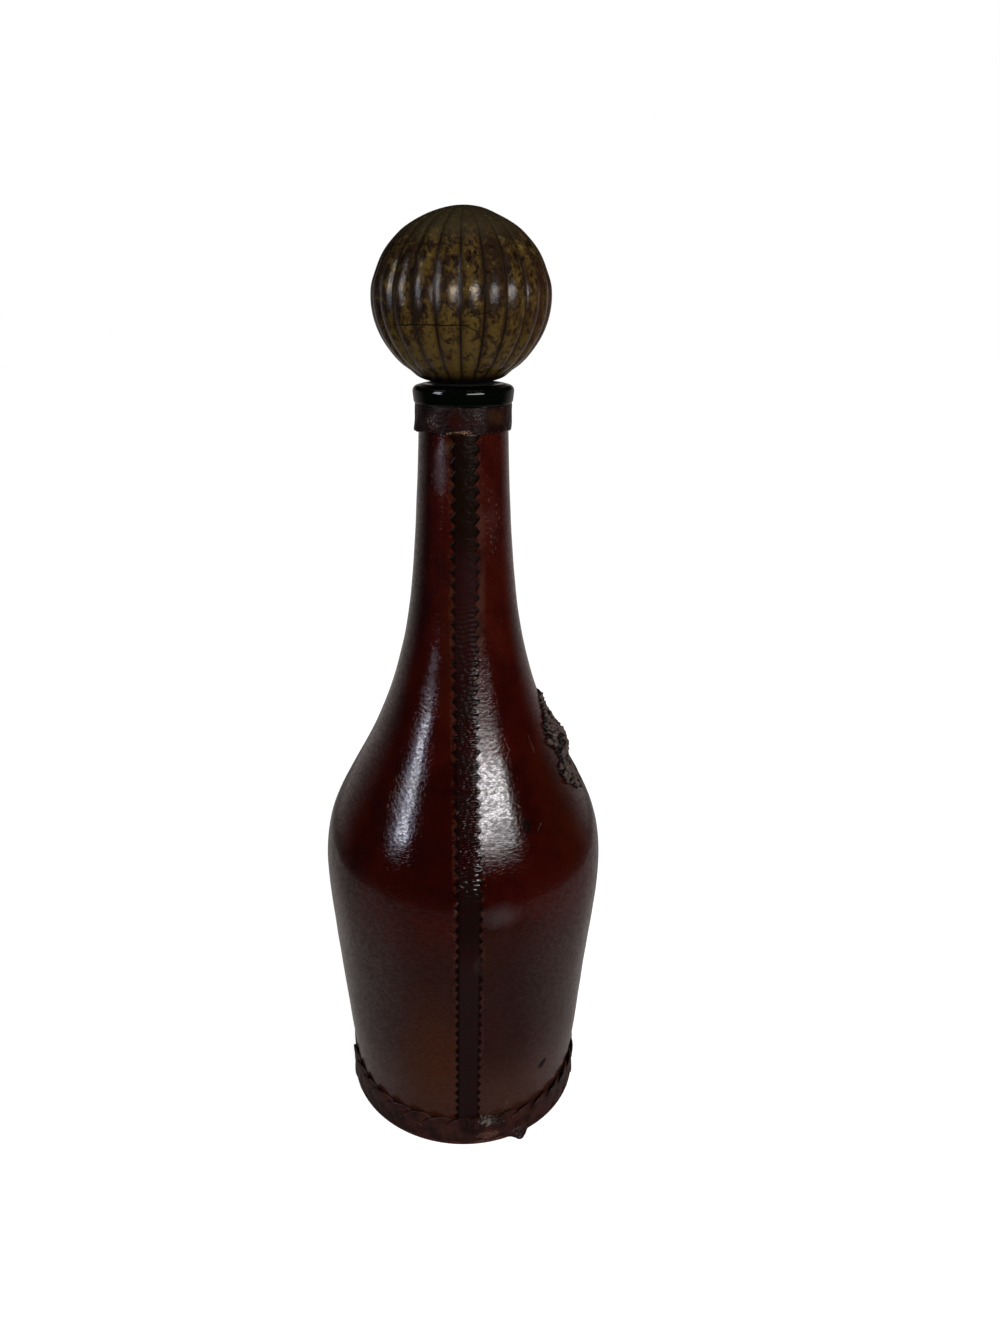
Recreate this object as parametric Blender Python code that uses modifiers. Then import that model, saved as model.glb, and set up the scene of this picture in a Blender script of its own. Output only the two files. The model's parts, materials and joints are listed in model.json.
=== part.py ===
"""Leather-wrapped glass decanter with a ribbed ball stopper.

The origin is the centre of the base on the surface it stands on, with +Z up.
The front seam faces -Y and the moulded vine ornament sits on the +X shoulder.
All sizes are in metres.
"""
import math

import bmesh
import bpy
import numpy as np
from mathutils import Matrix, Vector

# Fit between pieces
CLEARANCE = 0.0003
MERGE_DISTANCE = 0.00001
CUT_OVERRUN = 0.002

# Outline of the leather, over the whole wrapped body
FOOT_RADIUS = 0.0406
BELLY_RADIUS = 0.04935
BELLY_HEIGHT = 0.0972
NECK_RADIUS = 0.0136
NECK_TOP_HEIGHT = 0.2566
# Pairs of height and radius: up the wall from foot to belly
WALL_SHARES = ((0.0, 0.0), (0.19, 0.265), (0.34, 0.425), (0.58, 0.637), (0.81, 0.872))
# Pairs of height and radius: from the belly up over the shoulder to the neck's top
SHOULDER_SHARES = (
    (0.0, 1.0), (0.066, 0.982), (0.126, 0.915), (0.195, 0.772), (0.279, 0.568), (0.365, 0.389),
    (0.46, 0.246), (0.554, 0.147), (0.659, 0.084), (0.807, 0.036), (1.0, 0.0),
)
OUTLINE_STEP = 0.0127
ROUND_STEPS = 36

# Leather pieces
LEATHER_THICKNESS = 0.0014
SEAM_GAP = 0.0003
STRIP_WIDTH = 0.0090
STRIP_THICKNESS = 0.0009
TOOTH_PITCH = 0.0041
TOOTH_DEPTH = 0.0015
COLLAR_HEIGHT = 0.0079
COLLAR_THICKNESS = 0.0009
COLLAR_LAP_LENGTH = 0.0042
COLLAR_SEAM_ANGLE = math.radians(5.4)
COLLAR_STEPS = 44
BRAID_HEIGHT = 0.0099
BRAID_THICKNESS = 0.0016
BRAID_EDGE_ROUND = 0.0008
DISC_THICKNESS = 0.0015
DISC_MARGIN = 0.0025
DISC_EDGE_ROUND = 0.0003

# Glass bottle
GLASS_WALL = 0.0029
GLASS_BASE_THICKNESS = 0.0055
HEEL_ROUND = 0.0045
PUNT_RADIUS = 0.026
PUNT_DEPTH = 0.006
LIP_RADIUS = 0.0155
LIP_HEIGHT = 0.0047
LIP_EDGE_ROUND = 0.0011
MOUTH_ROUND = 0.0008

# Stopper
BALL_RADIUS = 0.0266
BALL_HALF_HEIGHT = 0.0245
BALL_FOOT_RADIUS = 0.0078
CORK_STAND = 0.001
RIB_COUNT = 24
RIB_STEPS = 4
RIB_DEPTH = 0.0009
BALL_RINGS = 16
CORK_LENGTH = 0.026
CORK_FIT_GAP = 0.0004
CORK_TAPER = 0.0009
CORK_EDGE_ROUND = 0.0006
CORK_STEPS = 32
DOWEL_RADIUS = 0.0026
DOWEL_IN_BALL = 0.012
DOWEL_IN_CORK = 0.015
DOWEL_STEPS = 20

# Vine ornament
ORNAMENT_HEIGHT = 0.1455
GRAPE_RADIUS = 0.0031
GRAPE_SPACING = 0.0052
GRAPE_ROW_STEP = 0.0042
GRAPE_FLATTENING_SHARE = 0.8
GRAPE_ROWS = (3, 4, 3, 2, 1)
GRAPE_TURN = math.radians(23)
BUNCH_TOP = 0.0045
LOBE_LENGTH = 0.0122
LOBE_WIDTH = 0.0074
LOBE_THICKNESS = 0.0034
LOBE_REACH_SHARE = 0.62
LOBE_ANGLES = tuple(math.radians(angle) for angle in (0, 58, -58, 112, -112))
LEAF_CENTRE = 0.0062
BUMP_SINK = 0.0004
BUMP_SEGMENTS = 10
BUMP_RINGS = 6


def natural_spline(places, values):
    """Return a smooth curve through the points, as a function of place."""
    count = len(places)
    steps = np.diff(places)
    matrix = np.eye(count)
    bends = np.zeros(count)
    for i in range(1, count - 1):
        matrix[i, i - 1] = steps[i - 1]
        matrix[i, i] = 2 * (steps[i - 1] + steps[i])
        matrix[i, i + 1] = steps[i]
        rise_after = (values[i + 1] - values[i]) / steps[i]
        rise_before = (values[i] - values[i - 1]) / steps[i - 1]
        bends[i] = 6 * (rise_after - rise_before)
    bends = np.linalg.solve(matrix, bends)

    def curve(place):
        i = int(np.clip(np.searchsorted(places, place) - 1, 0, count - 2))
        step = steps[i]
        left = places[i + 1] - place
        right = place - places[i]
        bend = (bends[i] * left ** 3 + bends[i + 1] * right ** 3) / (6 * step)
        level_left = (values[i] / step - bends[i] * step / 6) * left
        level_right = (values[i + 1] / step - bends[i + 1] * step / 6) * right
        return float(bend + level_left + level_right)

    return curve


def outline_curve():
    """Return the leather's outer radius as a function of height."""
    rise = NECK_TOP_HEIGHT - BELLY_HEIGHT
    heights = [BELLY_HEIGHT * up for up, _ in WALL_SHARES]
    radii = [FOOT_RADIUS + (BELLY_RADIUS - FOOT_RADIUS) * out for _, out in WALL_SHARES]
    heights += [BELLY_HEIGHT + rise * up for up, _ in SHOULDER_SHARES]
    radii += [NECK_RADIUS + (BELLY_RADIUS - NECK_RADIUS) * out for _, out in SHOULDER_SHARES]
    return natural_spline(np.array(heights), np.array(radii))


leather_radius = outline_curve()


def leather_normal(height):
    """Return the outward normal of the leather in the turning plane, as (radial, up)."""
    reach = CLEARANCE
    slope = (leather_radius(height + reach) - leather_radius(height - reach)) / (2 * reach)
    length = math.hypot(1, slope)
    return 1 / length, -slope / length


def skin_point(height, raise_by):
    """Return (radius, height) of a point that stands off the leather by raise_by."""
    out, up = leather_normal(height)
    return leather_radius(height) + raise_by * out, height + raise_by * up


def skin_line(bottom, top, raise_by, step=OUTLINE_STEP):
    """Return points down a line that stands off the leather, from top to bottom."""
    count = max(2, round((top - bottom) / step))
    heights = [top + (bottom - top) * i / count for i in range(count + 1)]
    return [skin_point(height, raise_by) for height in heights]


def level_ends(points, top, bottom):
    """Return the line with its two ends moved to exact heights."""
    return [(points[0][0], top)] + points[1:-1] + [(points[-1][0], bottom)]


def surface_place(angle, height, raise_by):
    """Return the point and the outward normal on the leather. Angle 0 faces -Y."""
    radius, level = skin_point(height, raise_by)
    out, up = leather_normal(height)
    aim = Vector((math.sin(angle), -math.cos(angle), 0))
    return aim * radius + Vector((0, 0, level)), aim * out + Vector((0, 0, up))


# Heights where pieces meet
body_bottom = DISC_THICKNESS + CLEARANCE
lip_bottom = NECK_TOP_HEIGHT + CLEARANCE
lip_top = lip_bottom + LIP_HEIGHT
collar_bottom = NECK_TOP_HEIGHT - COLLAR_HEIGHT
braid_bottom = DISC_THICKNESS + CLEARANCE
braid_top = braid_bottom + BRAID_HEIGHT
bore_radius = NECK_RADIUS - LEATHER_THICKNESS - CLEARANCE - GLASS_WALL
cork_radius = bore_radius - CORK_FIT_GAP
cork_top = lip_top + CORK_STAND
cork_bottom = cork_top - CORK_LENGTH
ball_foot = cork_top + CLEARANCE
foot_share = math.sqrt(1 - (BALL_FOOT_RADIUS / BALL_RADIUS) ** 2)
ball_centre = ball_foot + BALL_HALF_HEIGHT * foot_share


def clear_scene():
    """Remove every object and collection that the file starts with."""
    for item in list(bpy.data.objects):
        bpy.data.objects.remove(item, do_unlink=True)
    for group in list(bpy.data.collections):
        bpy.data.collections.remove(group)


def new_collection(name):
    """Return a new collection in the scene."""
    group = bpy.data.collections.new(name)
    bpy.context.scene.collection.children.link(group)
    return group


def new_material(name, colour, roughness, metallic=0.0):
    """Return a plain material with a colour, a roughness and a metallic value."""
    material = bpy.data.materials.new(name)
    material.use_nodes = True
    shader = material.node_tree.nodes["Principled BSDF"]
    shader.inputs["Base Color"].default_value = (*colour, 1)
    shader.inputs["Roughness"].default_value = roughness
    shader.inputs["Metallic"].default_value = metallic
    material.diffuse_color = (*colour, 1)
    return material


def add_object(name, mesh, group, material=None):
    """Return a new object for the mesh, in its collection and with its material."""
    item = bpy.data.objects.new(name, mesh)
    group.objects.link(item)
    if material:
        mesh.materials.append(material)
    return item


def mark_as_cutter(item):
    """Show a cutter as wire and keep it out of the render."""
    item.hide_render = True
    item.display_type = "WIRE"


def turned_object(name, points, group, material=None, steps=ROUND_STEPS, angle=math.tau):
    """Return a profile of (radius, height) points turned about Z."""
    mesh = bpy.data.meshes.new(name)
    edges = [(i, i + 1) for i in range(len(points) - 1)]
    mesh.from_pydata([(radius, 0, height) for radius, height in points], edges, [])
    item = add_object(name, mesh, group, material)
    screw = item.modifiers.new("Turn", "SCREW")
    screw.angle = angle
    screw.steps = steps
    screw.render_steps = steps
    screw.use_merge_vertices = True
    screw.merge_threshold = MERGE_DISTANCE
    screw.use_smooth_shade = True
    return item


def rounded_corner(centre, radius, start, end, steps=3):
    """Return points along an arc in the turning plane. Angles are from +radial, towards up."""
    return [
        (
            centre[0] + radius * math.cos(start + (end - start) * i / steps),
            centre[1] + radius * math.sin(start + (end - start) * i / steps),
        )
        for i in range(steps + 1)
    ]


def mesh_from_bmesh(name, cage):
    """Return a mesh with the cage's faces, and free the cage."""
    mesh = bpy.data.meshes.new(name)
    cage.to_mesh(mesh)
    cage.free()
    return mesh


def make_glass_bottle(group, material):
    """Turn the hollow bottle: floor, inner wall, bore, mouth, lip, outer wall, heel and punt."""
    outer_raise = -(LEATHER_THICKNESS + CLEARANCE)
    inner_raise = outer_raise - GLASS_WALL
    quarter = math.pi / 2
    floor = body_bottom + GLASS_BASE_THICKNESS
    inner_heel = HEEL_ROUND - GLASS_WALL / 2
    inner_wall = skin_line(floor + inner_heel, lip_bottom, inner_raise)
    inner_wall = level_ends(inner_wall, lip_bottom, floor + inner_heel)
    inner_wall[0] = (bore_radius, lip_bottom)
    wall_radius = inner_wall[-1][0]
    heel_centre = (wall_radius - inner_heel, floor + inner_heel)
    points = [(0, floor + PUNT_DEPTH), (PUNT_RADIUS, floor)]
    points += rounded_corner(heel_centre, inner_heel, -quarter, 0, 2)[:-1]
    points += reversed(inner_wall)
    mouth_centre = (bore_radius + MOUTH_ROUND, lip_top - MOUTH_ROUND)
    points += rounded_corner(mouth_centre, MOUTH_ROUND, 2 * quarter, quarter, 2)
    lip_edge = LIP_RADIUS - LIP_EDGE_ROUND
    points += rounded_corner((lip_edge, lip_top - LIP_EDGE_ROUND), LIP_EDGE_ROUND, quarter, 0)
    points += rounded_corner((lip_edge, lip_bottom + LIP_EDGE_ROUND), LIP_EDGE_ROUND, 0, -quarter)
    outer_wall = skin_line(body_bottom + HEEL_ROUND, lip_bottom, outer_raise)
    points += level_ends(outer_wall, lip_bottom, body_bottom + HEEL_ROUND)
    heel_centre = (points[-1][0] - HEEL_ROUND, body_bottom + HEEL_ROUND)
    points += rounded_corner(heel_centre, HEEL_ROUND, 0, -quarter)[1:]
    points += [(PUNT_RADIUS, body_bottom), (0, body_bottom + PUNT_DEPTH)]
    return turned_object("glass_bottle", points, group, material)


def make_leather_panel(name, side, group, material):
    """Turn one half of the wrapped leather, open at the two seams. Side is 1 for +X."""
    line = level_ends(skin_line(body_bottom, NECK_TOP_HEIGHT, 0), NECK_TOP_HEIGHT, body_bottom)
    margin = SEAM_GAP / NECK_RADIUS / 2
    item = turned_object(name, line, group, material, ROUND_STEPS // 2, math.pi - 2 * margin)
    item.rotation_euler.z = margin - side * math.pi / 2
    wall = item.modifiers.new("Leather thickness", "SOLIDIFY")
    wall.thickness = LEATHER_THICKNESS
    wall.offset = -1
    return item


def make_seam_strip(name, facing, group, material):
    """Lay a pinked strip over a seam, from the braid to the collar. Facing is 0 for -Y."""
    bottom = braid_top + CLEARANCE
    top = collar_bottom - CLEARANCE
    length = top - bottom
    half_teeth = 2 * round(length / TOOTH_PITCH)
    cage = bmesh.new()
    rows = []
    for i in range(half_teeth + 1):
        height = top + (bottom - top) * i / half_teeth
        half_width = STRIP_WIDTH / 2 - (TOOTH_DEPTH if i % 2 else 0)
        radius, _ = skin_point(height, CLEARANCE)
        row = []
        for across in (-half_width, 0, half_width):
            place, _ = surface_place(facing + across / radius, height, CLEARANCE)
            row.append(cage.verts.new(place))
        rows.append(row)
    for upper, lower in zip(rows, rows[1:]):
        for i in range(2):
            cage.faces.new((upper[i], lower[i], lower[i + 1], upper[i + 1]))
    item = add_object(name, mesh_from_bmesh(name, cage), group, material)
    wall = item.modifiers.new("Strip thickness", "SOLIDIFY")
    wall.thickness = STRIP_THICKNESS
    wall.offset = 1
    return item


def make_neck_collar(group, material):
    """Wrap a band round the neck's top, its two pared ends lapped over each other."""
    inner = leather_radius(collar_bottom) + CLEARANCE
    pared = (COLLAR_THICKNESS - CLEARANCE) / 2
    lap_angle = COLLAR_LAP_LENGTH / inner
    whole = math.tau + lap_angle
    cage = bmesh.new()
    rings = []
    for i in range(COLLAR_STEPS + 1):
        turn = whole * i / COLLAR_STEPS
        under = min(1, max(0, (2 * lap_angle - turn) / lap_angle))
        over = min(1, max(0, (turn - math.tau + lap_angle) / lap_angle))
        low = inner + over * (pared + CLEARANCE)
        high = inner + COLLAR_THICKNESS - under * (COLLAR_THICKNESS - pared)
        angle = COLLAR_SEAM_ANGLE - lap_angle + turn
        aim = Vector((math.sin(angle), -math.cos(angle), 0))
        corners = ((low, collar_bottom), (high, collar_bottom), (high, NECK_TOP_HEIGHT),
                   (low, NECK_TOP_HEIGHT))
        rings.append([cage.verts.new(aim * radius + Vector((0, 0, height)))
                      for radius, height in corners])
    for before, after in zip(rings, rings[1:]):
        for i in range(4):
            j = (i + 1) % 4
            cage.faces.new((before[i], after[i], after[j], before[j]))
    cage.faces.new(rings[0])
    cage.faces.new(tuple(reversed(rings[-1])))
    bmesh.ops.recalc_face_normals(cage, faces=cage.faces)
    return add_object("neck_collar", mesh_from_bmesh("neck_collar", cage), group, material)


def make_base_braid(group, material):
    """Turn the ring of plaited trim that hides the lower edges of the panels."""
    half = math.pi / 2
    low_in = leather_radius(braid_bottom) + CLEARANCE
    high_in = leather_radius(braid_top) + CLEARANCE
    edge = BRAID_EDGE_ROUND
    outer_top = high_in + BRAID_THICKNESS - edge
    outer_low = low_in + BRAID_THICKNESS - edge
    middle = (low_in + high_in) / 2 + BRAID_THICKNESS + edge / 2
    points = [(high_in, braid_top)]
    points += rounded_corner((outer_top, braid_top - edge), edge, half, 0, 2)
    points += [(middle, (braid_top + braid_bottom) / 2)]
    points += rounded_corner((outer_low, braid_bottom + edge), edge, 0, -half, 2)
    points += [(low_in, braid_bottom), (high_in, braid_top)]
    return turned_object("base_braid", points, group, material)


def make_base_disc(group, material):
    """Turn the flat leather disc that the decanter stands on, out to the braid's outside."""
    radius = leather_radius(body_bottom) + DISC_MARGIN
    edge = DISC_EDGE_ROUND
    points = [(0, DISC_THICKNESS), (radius, DISC_THICKNESS), (radius, edge), (radius - edge, 0), (0, 0)]
    return turned_object("base_disc", points, group, material)


def make_bump(name, angle, height, turn, size, group):
    """Return a flattened ball laid on the shoulder: size is (across, along, thick)."""
    cage = bmesh.new()
    bmesh.ops.create_uvsphere(cage, u_segments=BUMP_SEGMENTS, v_segments=BUMP_RINGS, radius=1)
    place, normal = surface_place(angle, height, -BUMP_SINK)
    across = Vector((math.cos(angle), math.sin(angle), 0))
    along = normal.cross(across)
    aim = along * math.cos(turn) + across * math.sin(turn)
    beside = aim.cross(normal)
    frame = Matrix((beside, aim, normal)).transposed().to_4x4()
    scale = Matrix.Diagonal((*[value / 2 for value in size], 1))
    cage.transform(Matrix.Translation(place) @ frame @ scale)
    return add_object(name, mesh_from_bmesh(name, cage), group)


def ornament_place(across, up):
    """Return (angle, height) for a place on the shoulder, measured from the ornament's middle."""
    out, _ = leather_normal(ORNAMENT_HEIGHT)
    height = ORNAMENT_HEIGHT + up * out
    return math.pi / 2 + across / leather_radius(height), height


def make_vine_ornament(group, cutters, material):
    """Join a five-lobed leaf and a bunch of grapes, bedded on the shoulder."""
    grape = (2 * GRAPE_RADIUS, 2 * GRAPE_RADIUS, 2 * GRAPE_RADIUS * GRAPE_FLATTENING_SHARE)
    bumps = []
    for row, count in enumerate(GRAPE_ROWS):
        for i in range(count):
            across = (i - (count - 1) / 2) * GRAPE_SPACING
            spot = ornament_place(across, BUNCH_TOP - GRAPE_RADIUS - row * GRAPE_ROW_STEP)
            bumps.append((spot, row + i * GRAPE_TURN, grape))
    lobe = (LOBE_WIDTH, LOBE_LENGTH, LOBE_THICKNESS)
    reach = LOBE_LENGTH / 2 * LOBE_REACH_SHARE
    for turn in LOBE_ANGLES:
        spot = ornament_place(reach * math.sin(turn), LEAF_CENTRE + reach * math.cos(turn))
        bumps.append((spot, turn, lobe))
    (angle, height), turn, size = bumps.pop()
    item = make_bump("vine_ornament", angle, height, turn, size, group)
    item.data.materials.append(material)
    for i, ((angle, height), turn, size) in enumerate(bumps):
        bump = make_bump(f"ornament_bump_{i + 1}", angle, height, turn, size, cutters)
        mark_as_cutter(bump)
        join = item.modifiers.new("Join bump", "BOOLEAN")
        join.operation = "UNION"
        join.object = bump
    reach = LOBE_LENGTH + len(GRAPE_ROWS) * GRAPE_ROW_STEP + CUT_OVERRUN
    line = skin_line(ORNAMENT_HEIGHT - reach, ORNAMENT_HEIGHT + reach, CLEARANCE)
    core = turned_object("ornament_bed", [(0, line[0][1])] + line + [(0, line[-1][1])], cutters)
    mark_as_cutter(core)
    bed = item.modifiers.new("Bed on shoulder", "BOOLEAN")
    bed.operation = "DIFFERENCE"
    bed.object = core
    return item


def make_stopper_ball(group, cutters, material, parent):
    """Shape the ribbed ball, cut its foot flat and drill it for the dowel."""
    cage = bmesh.new()
    bmesh.ops.create_uvsphere(cage, u_segments=RIB_COUNT * RIB_STEPS, v_segments=BALL_RINGS, radius=1)
    for vert in cage.verts:
        girth = math.hypot(vert.co.x, vert.co.y)
        angle = math.atan2(vert.co.y, vert.co.x)
        across_rib = 2 * ((angle * RIB_COUNT / math.tau) % 1) - 1
        radius = girth * (BALL_RADIUS - RIB_DEPTH * across_rib ** 2)
        vert.co = (radius * math.cos(angle), radius * math.sin(angle), vert.co.z * BALL_HALF_HEIGHT)
    item = add_object("stopper_ball", mesh_from_bmesh("stopper_ball", cage), group, material)
    item.data.shade_smooth()
    item.data.set_sharp_from_angle(angle=math.radians(30))
    item.parent = parent
    item.location.z = ball_centre - lip_top
    below = ball_centre - BALL_HALF_HEIGHT - CUT_OVERRUN
    foot_block = [(0, ball_foot), (BALL_RADIUS, ball_foot), (BALL_RADIUS, below), (0, below)]
    hole_radius = DOWEL_RADIUS + CLEARANCE
    hole_top = ball_foot + DOWEL_IN_BALL + CLEARANCE
    hole = [(0, hole_top), (hole_radius, hole_top), (hole_radius, below), (0, below)]
    for name, points in (("ball_foot_cut", foot_block), ("ball_dowel_hole", hole)):
        cutter = turned_object(name, points, cutters, steps=DOWEL_STEPS)
        mark_as_cutter(cutter)
        cut = item.modifiers.new(name, "BOOLEAN")
        cut.operation = "DIFFERENCE"
        cut.object = cutter
    return item


def make_stopper_cork(group, material, parent):
    """Turn the tapered cork with its blind hole for the dowel."""
    hole_radius = DOWEL_RADIUS + CLEARANCE
    hole_bottom = cork_top - DOWEL_IN_CORK - CLEARANCE
    edge = CORK_EDGE_ROUND
    tip_radius = cork_radius - CORK_TAPER
    points = [(0, hole_bottom), (hole_radius, hole_bottom), (hole_radius, cork_top),
              (cork_radius - edge, cork_top), (cork_radius, cork_top - edge),
              (tip_radius, cork_bottom + edge), (tip_radius - edge, cork_bottom), (0, cork_bottom)]
    points = [(radius, height - lip_top) for radius, height in points]
    item = turned_object("stopper_cork", points, group, material, steps=CORK_STEPS)
    item.parent = parent
    return item


def make_stopper_dowel(group, material, parent):
    """Turn the wooden dowel that joins the ball to the cork."""
    top = ball_foot + DOWEL_IN_BALL
    bottom = cork_top - DOWEL_IN_CORK
    points = [(0, top), (DOWEL_RADIUS, top), (DOWEL_RADIUS, bottom), (0, bottom)]
    points = [(radius, height - lip_top) for radius, height in points]
    item = turned_object("stopper_dowel", points, group, material, steps=DOWEL_STEPS)
    item.parent = parent
    return item


def main():
    """Build the decanter."""
    clear_scene()
    pieces = new_collection("leather_wrapped_decanter")
    cutters = new_collection("cutters")
    glass = new_material("dark_green_glass", (0.02, 0.035, 0.025), 0.06)
    leather = new_material("oxblood_leather", (0.10, 0.022, 0.014), 0.28)
    strip = new_material("dark_seam_leather", (0.035, 0.012, 0.009), 0.4)
    collar = new_material("scuffed_collar_leather", (0.045, 0.018, 0.014), 0.5)
    braid = new_material("plaited_leather", (0.05, 0.014, 0.01), 0.45)
    underside = new_material("underside_leather", (0.08, 0.05, 0.03), 0.85)
    relief = new_material("moulded_leather", (0.06, 0.03, 0.024), 0.42)
    lacquer = new_material("gilt_lacquer", (0.17, 0.12, 0.04), 0.2, 0.35)
    cork = new_material("cork", (0.36, 0.22, 0.12), 0.85)
    wood = new_material("beech_dowel", (0.45, 0.31, 0.18), 0.6)

    make_glass_bottle(pieces, glass)
    make_leather_panel("leather_panel_left", -1, pieces, leather)
    make_leather_panel("leather_panel_right", 1, pieces, leather.copy())
    make_seam_strip("seam_strip_front", 0, pieces, strip)
    make_seam_strip("seam_strip_back", math.pi, pieces, strip.copy())
    make_neck_collar(pieces, collar)
    make_base_braid(pieces, braid)
    make_base_disc(pieces, underside)
    make_vine_ornament(pieces, cutters, relief)

    stopper = bpy.data.objects.new("stopper_lift_axis", None)
    stopper.location = (0, 0, lip_top)
    pieces.objects.link(stopper)
    make_stopper_ball(pieces, cutters, lacquer, stopper)
    make_stopper_cork(pieces, cork, stopper)
    make_stopper_dowel(pieces, wood, stopper)


main()
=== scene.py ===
"""Looks of the leather-wrapped decanter, laid out as a Blender add-on.

Each operator builds one piece, or one group of like pieces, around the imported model.
Everything is in metres, with the origin at the centre of the base and +Z up.
Angles go round Z from -Y, and positive angles lead towards +X.
"""
import json
import math

import bmesh
import bpy
import numpy as np
from bpy.props import FloatProperty, FloatVectorProperty, IntProperty, PointerProperty
from bpy.types import Operator, Panel, PropertyGroup
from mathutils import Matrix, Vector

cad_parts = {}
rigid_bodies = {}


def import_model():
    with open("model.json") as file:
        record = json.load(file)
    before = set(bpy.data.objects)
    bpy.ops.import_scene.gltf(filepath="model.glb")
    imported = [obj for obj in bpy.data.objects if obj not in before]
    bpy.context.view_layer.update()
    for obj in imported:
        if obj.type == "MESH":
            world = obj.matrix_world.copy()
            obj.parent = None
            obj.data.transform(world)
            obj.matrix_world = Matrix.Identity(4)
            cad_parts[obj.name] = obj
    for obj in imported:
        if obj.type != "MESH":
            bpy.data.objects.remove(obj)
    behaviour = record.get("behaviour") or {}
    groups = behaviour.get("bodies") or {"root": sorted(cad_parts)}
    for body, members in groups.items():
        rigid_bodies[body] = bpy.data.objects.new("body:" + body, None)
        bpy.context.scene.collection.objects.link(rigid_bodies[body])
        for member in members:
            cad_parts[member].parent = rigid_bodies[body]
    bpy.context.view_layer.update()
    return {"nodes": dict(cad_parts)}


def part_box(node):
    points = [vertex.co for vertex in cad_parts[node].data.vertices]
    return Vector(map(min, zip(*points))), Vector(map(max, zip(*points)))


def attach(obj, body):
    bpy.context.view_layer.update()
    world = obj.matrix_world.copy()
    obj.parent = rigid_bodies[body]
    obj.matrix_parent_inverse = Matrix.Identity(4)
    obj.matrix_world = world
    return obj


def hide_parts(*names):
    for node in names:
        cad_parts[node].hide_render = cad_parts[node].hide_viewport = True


bl_info = {
    "name": "Leather-wrapped decanter",
    "version": (1, 0, 0),
    "blender": (4, 5, 0),
    "location": "View3D > Sidebar > Decanter",
    "description": "Builds a leather-wrapped glass decanter with a ribbed ball stopper",
    "category": "Object",
}

for leftover in list(bpy.data.objects):
    bpy.data.objects.remove(leftover)
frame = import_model()


def limits(node):
    """Return a node's bottom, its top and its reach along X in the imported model."""
    low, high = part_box(node)
    return low.z, high.z, high.x


body_bottom, neck_top, _ = limits("leather_panel_left")
_, lip_top, _ = limits("glass_bottle")
collar_bottom, _, _ = limits("neck_collar")
strip_bottom, strip_top, _ = limits("seam_strip_front")
_, braid_top, _ = limits("base_braid")
_, disc_top, disc_radius = limits("base_disc")
cork_bottom, cork_top, cork_radius = limits("stopper_cork")
ball_foot, ball_top, _ = limits("stopper_ball")
dowel_bottom, dowel_top, dowel_radius = limits("stopper_dowel")

# Outline of the leather, with the same values as the part's source
FOOT_RADIUS = 0.0406
BELLY_RADIUS = 0.04935
BELLY_HEIGHT = 0.0972
NECK_RADIUS = 0.0136
WALL_SHARES = ((0.0, 0.0), (0.19, 0.265), (0.34, 0.425), (0.58, 0.637), (0.81, 0.872))
SHOULDER_SHARES = (
    (0.0, 1.0), (0.066, 0.982), (0.126, 0.915), (0.195, 0.772), (0.279, 0.568), (0.365, 0.389),
    (0.46, 0.246), (0.554, 0.147), (0.659, 0.084), (0.807, 0.036), (1.0, 0.0),
)
CLEARANCE = 0.0003
QUARTER = math.pi / 2


# Sizes and colours that a user may change
def length(name, default, description):
    """Return a property for a length in metres."""
    return FloatProperty(name=name, description=description, default=default, precision=5, unit="LENGTH")


def number(name, default, low, high, description):
    """Return a property for a whole number."""
    return IntProperty(name=name, description=description, default=default, min=low, max=high)


def colour(name, default, description):
    """Return a property for a colour."""
    return FloatVectorProperty(name=name, description=description, default=default, size=3,
                               min=0, max=1, subtype="COLOR")


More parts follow.
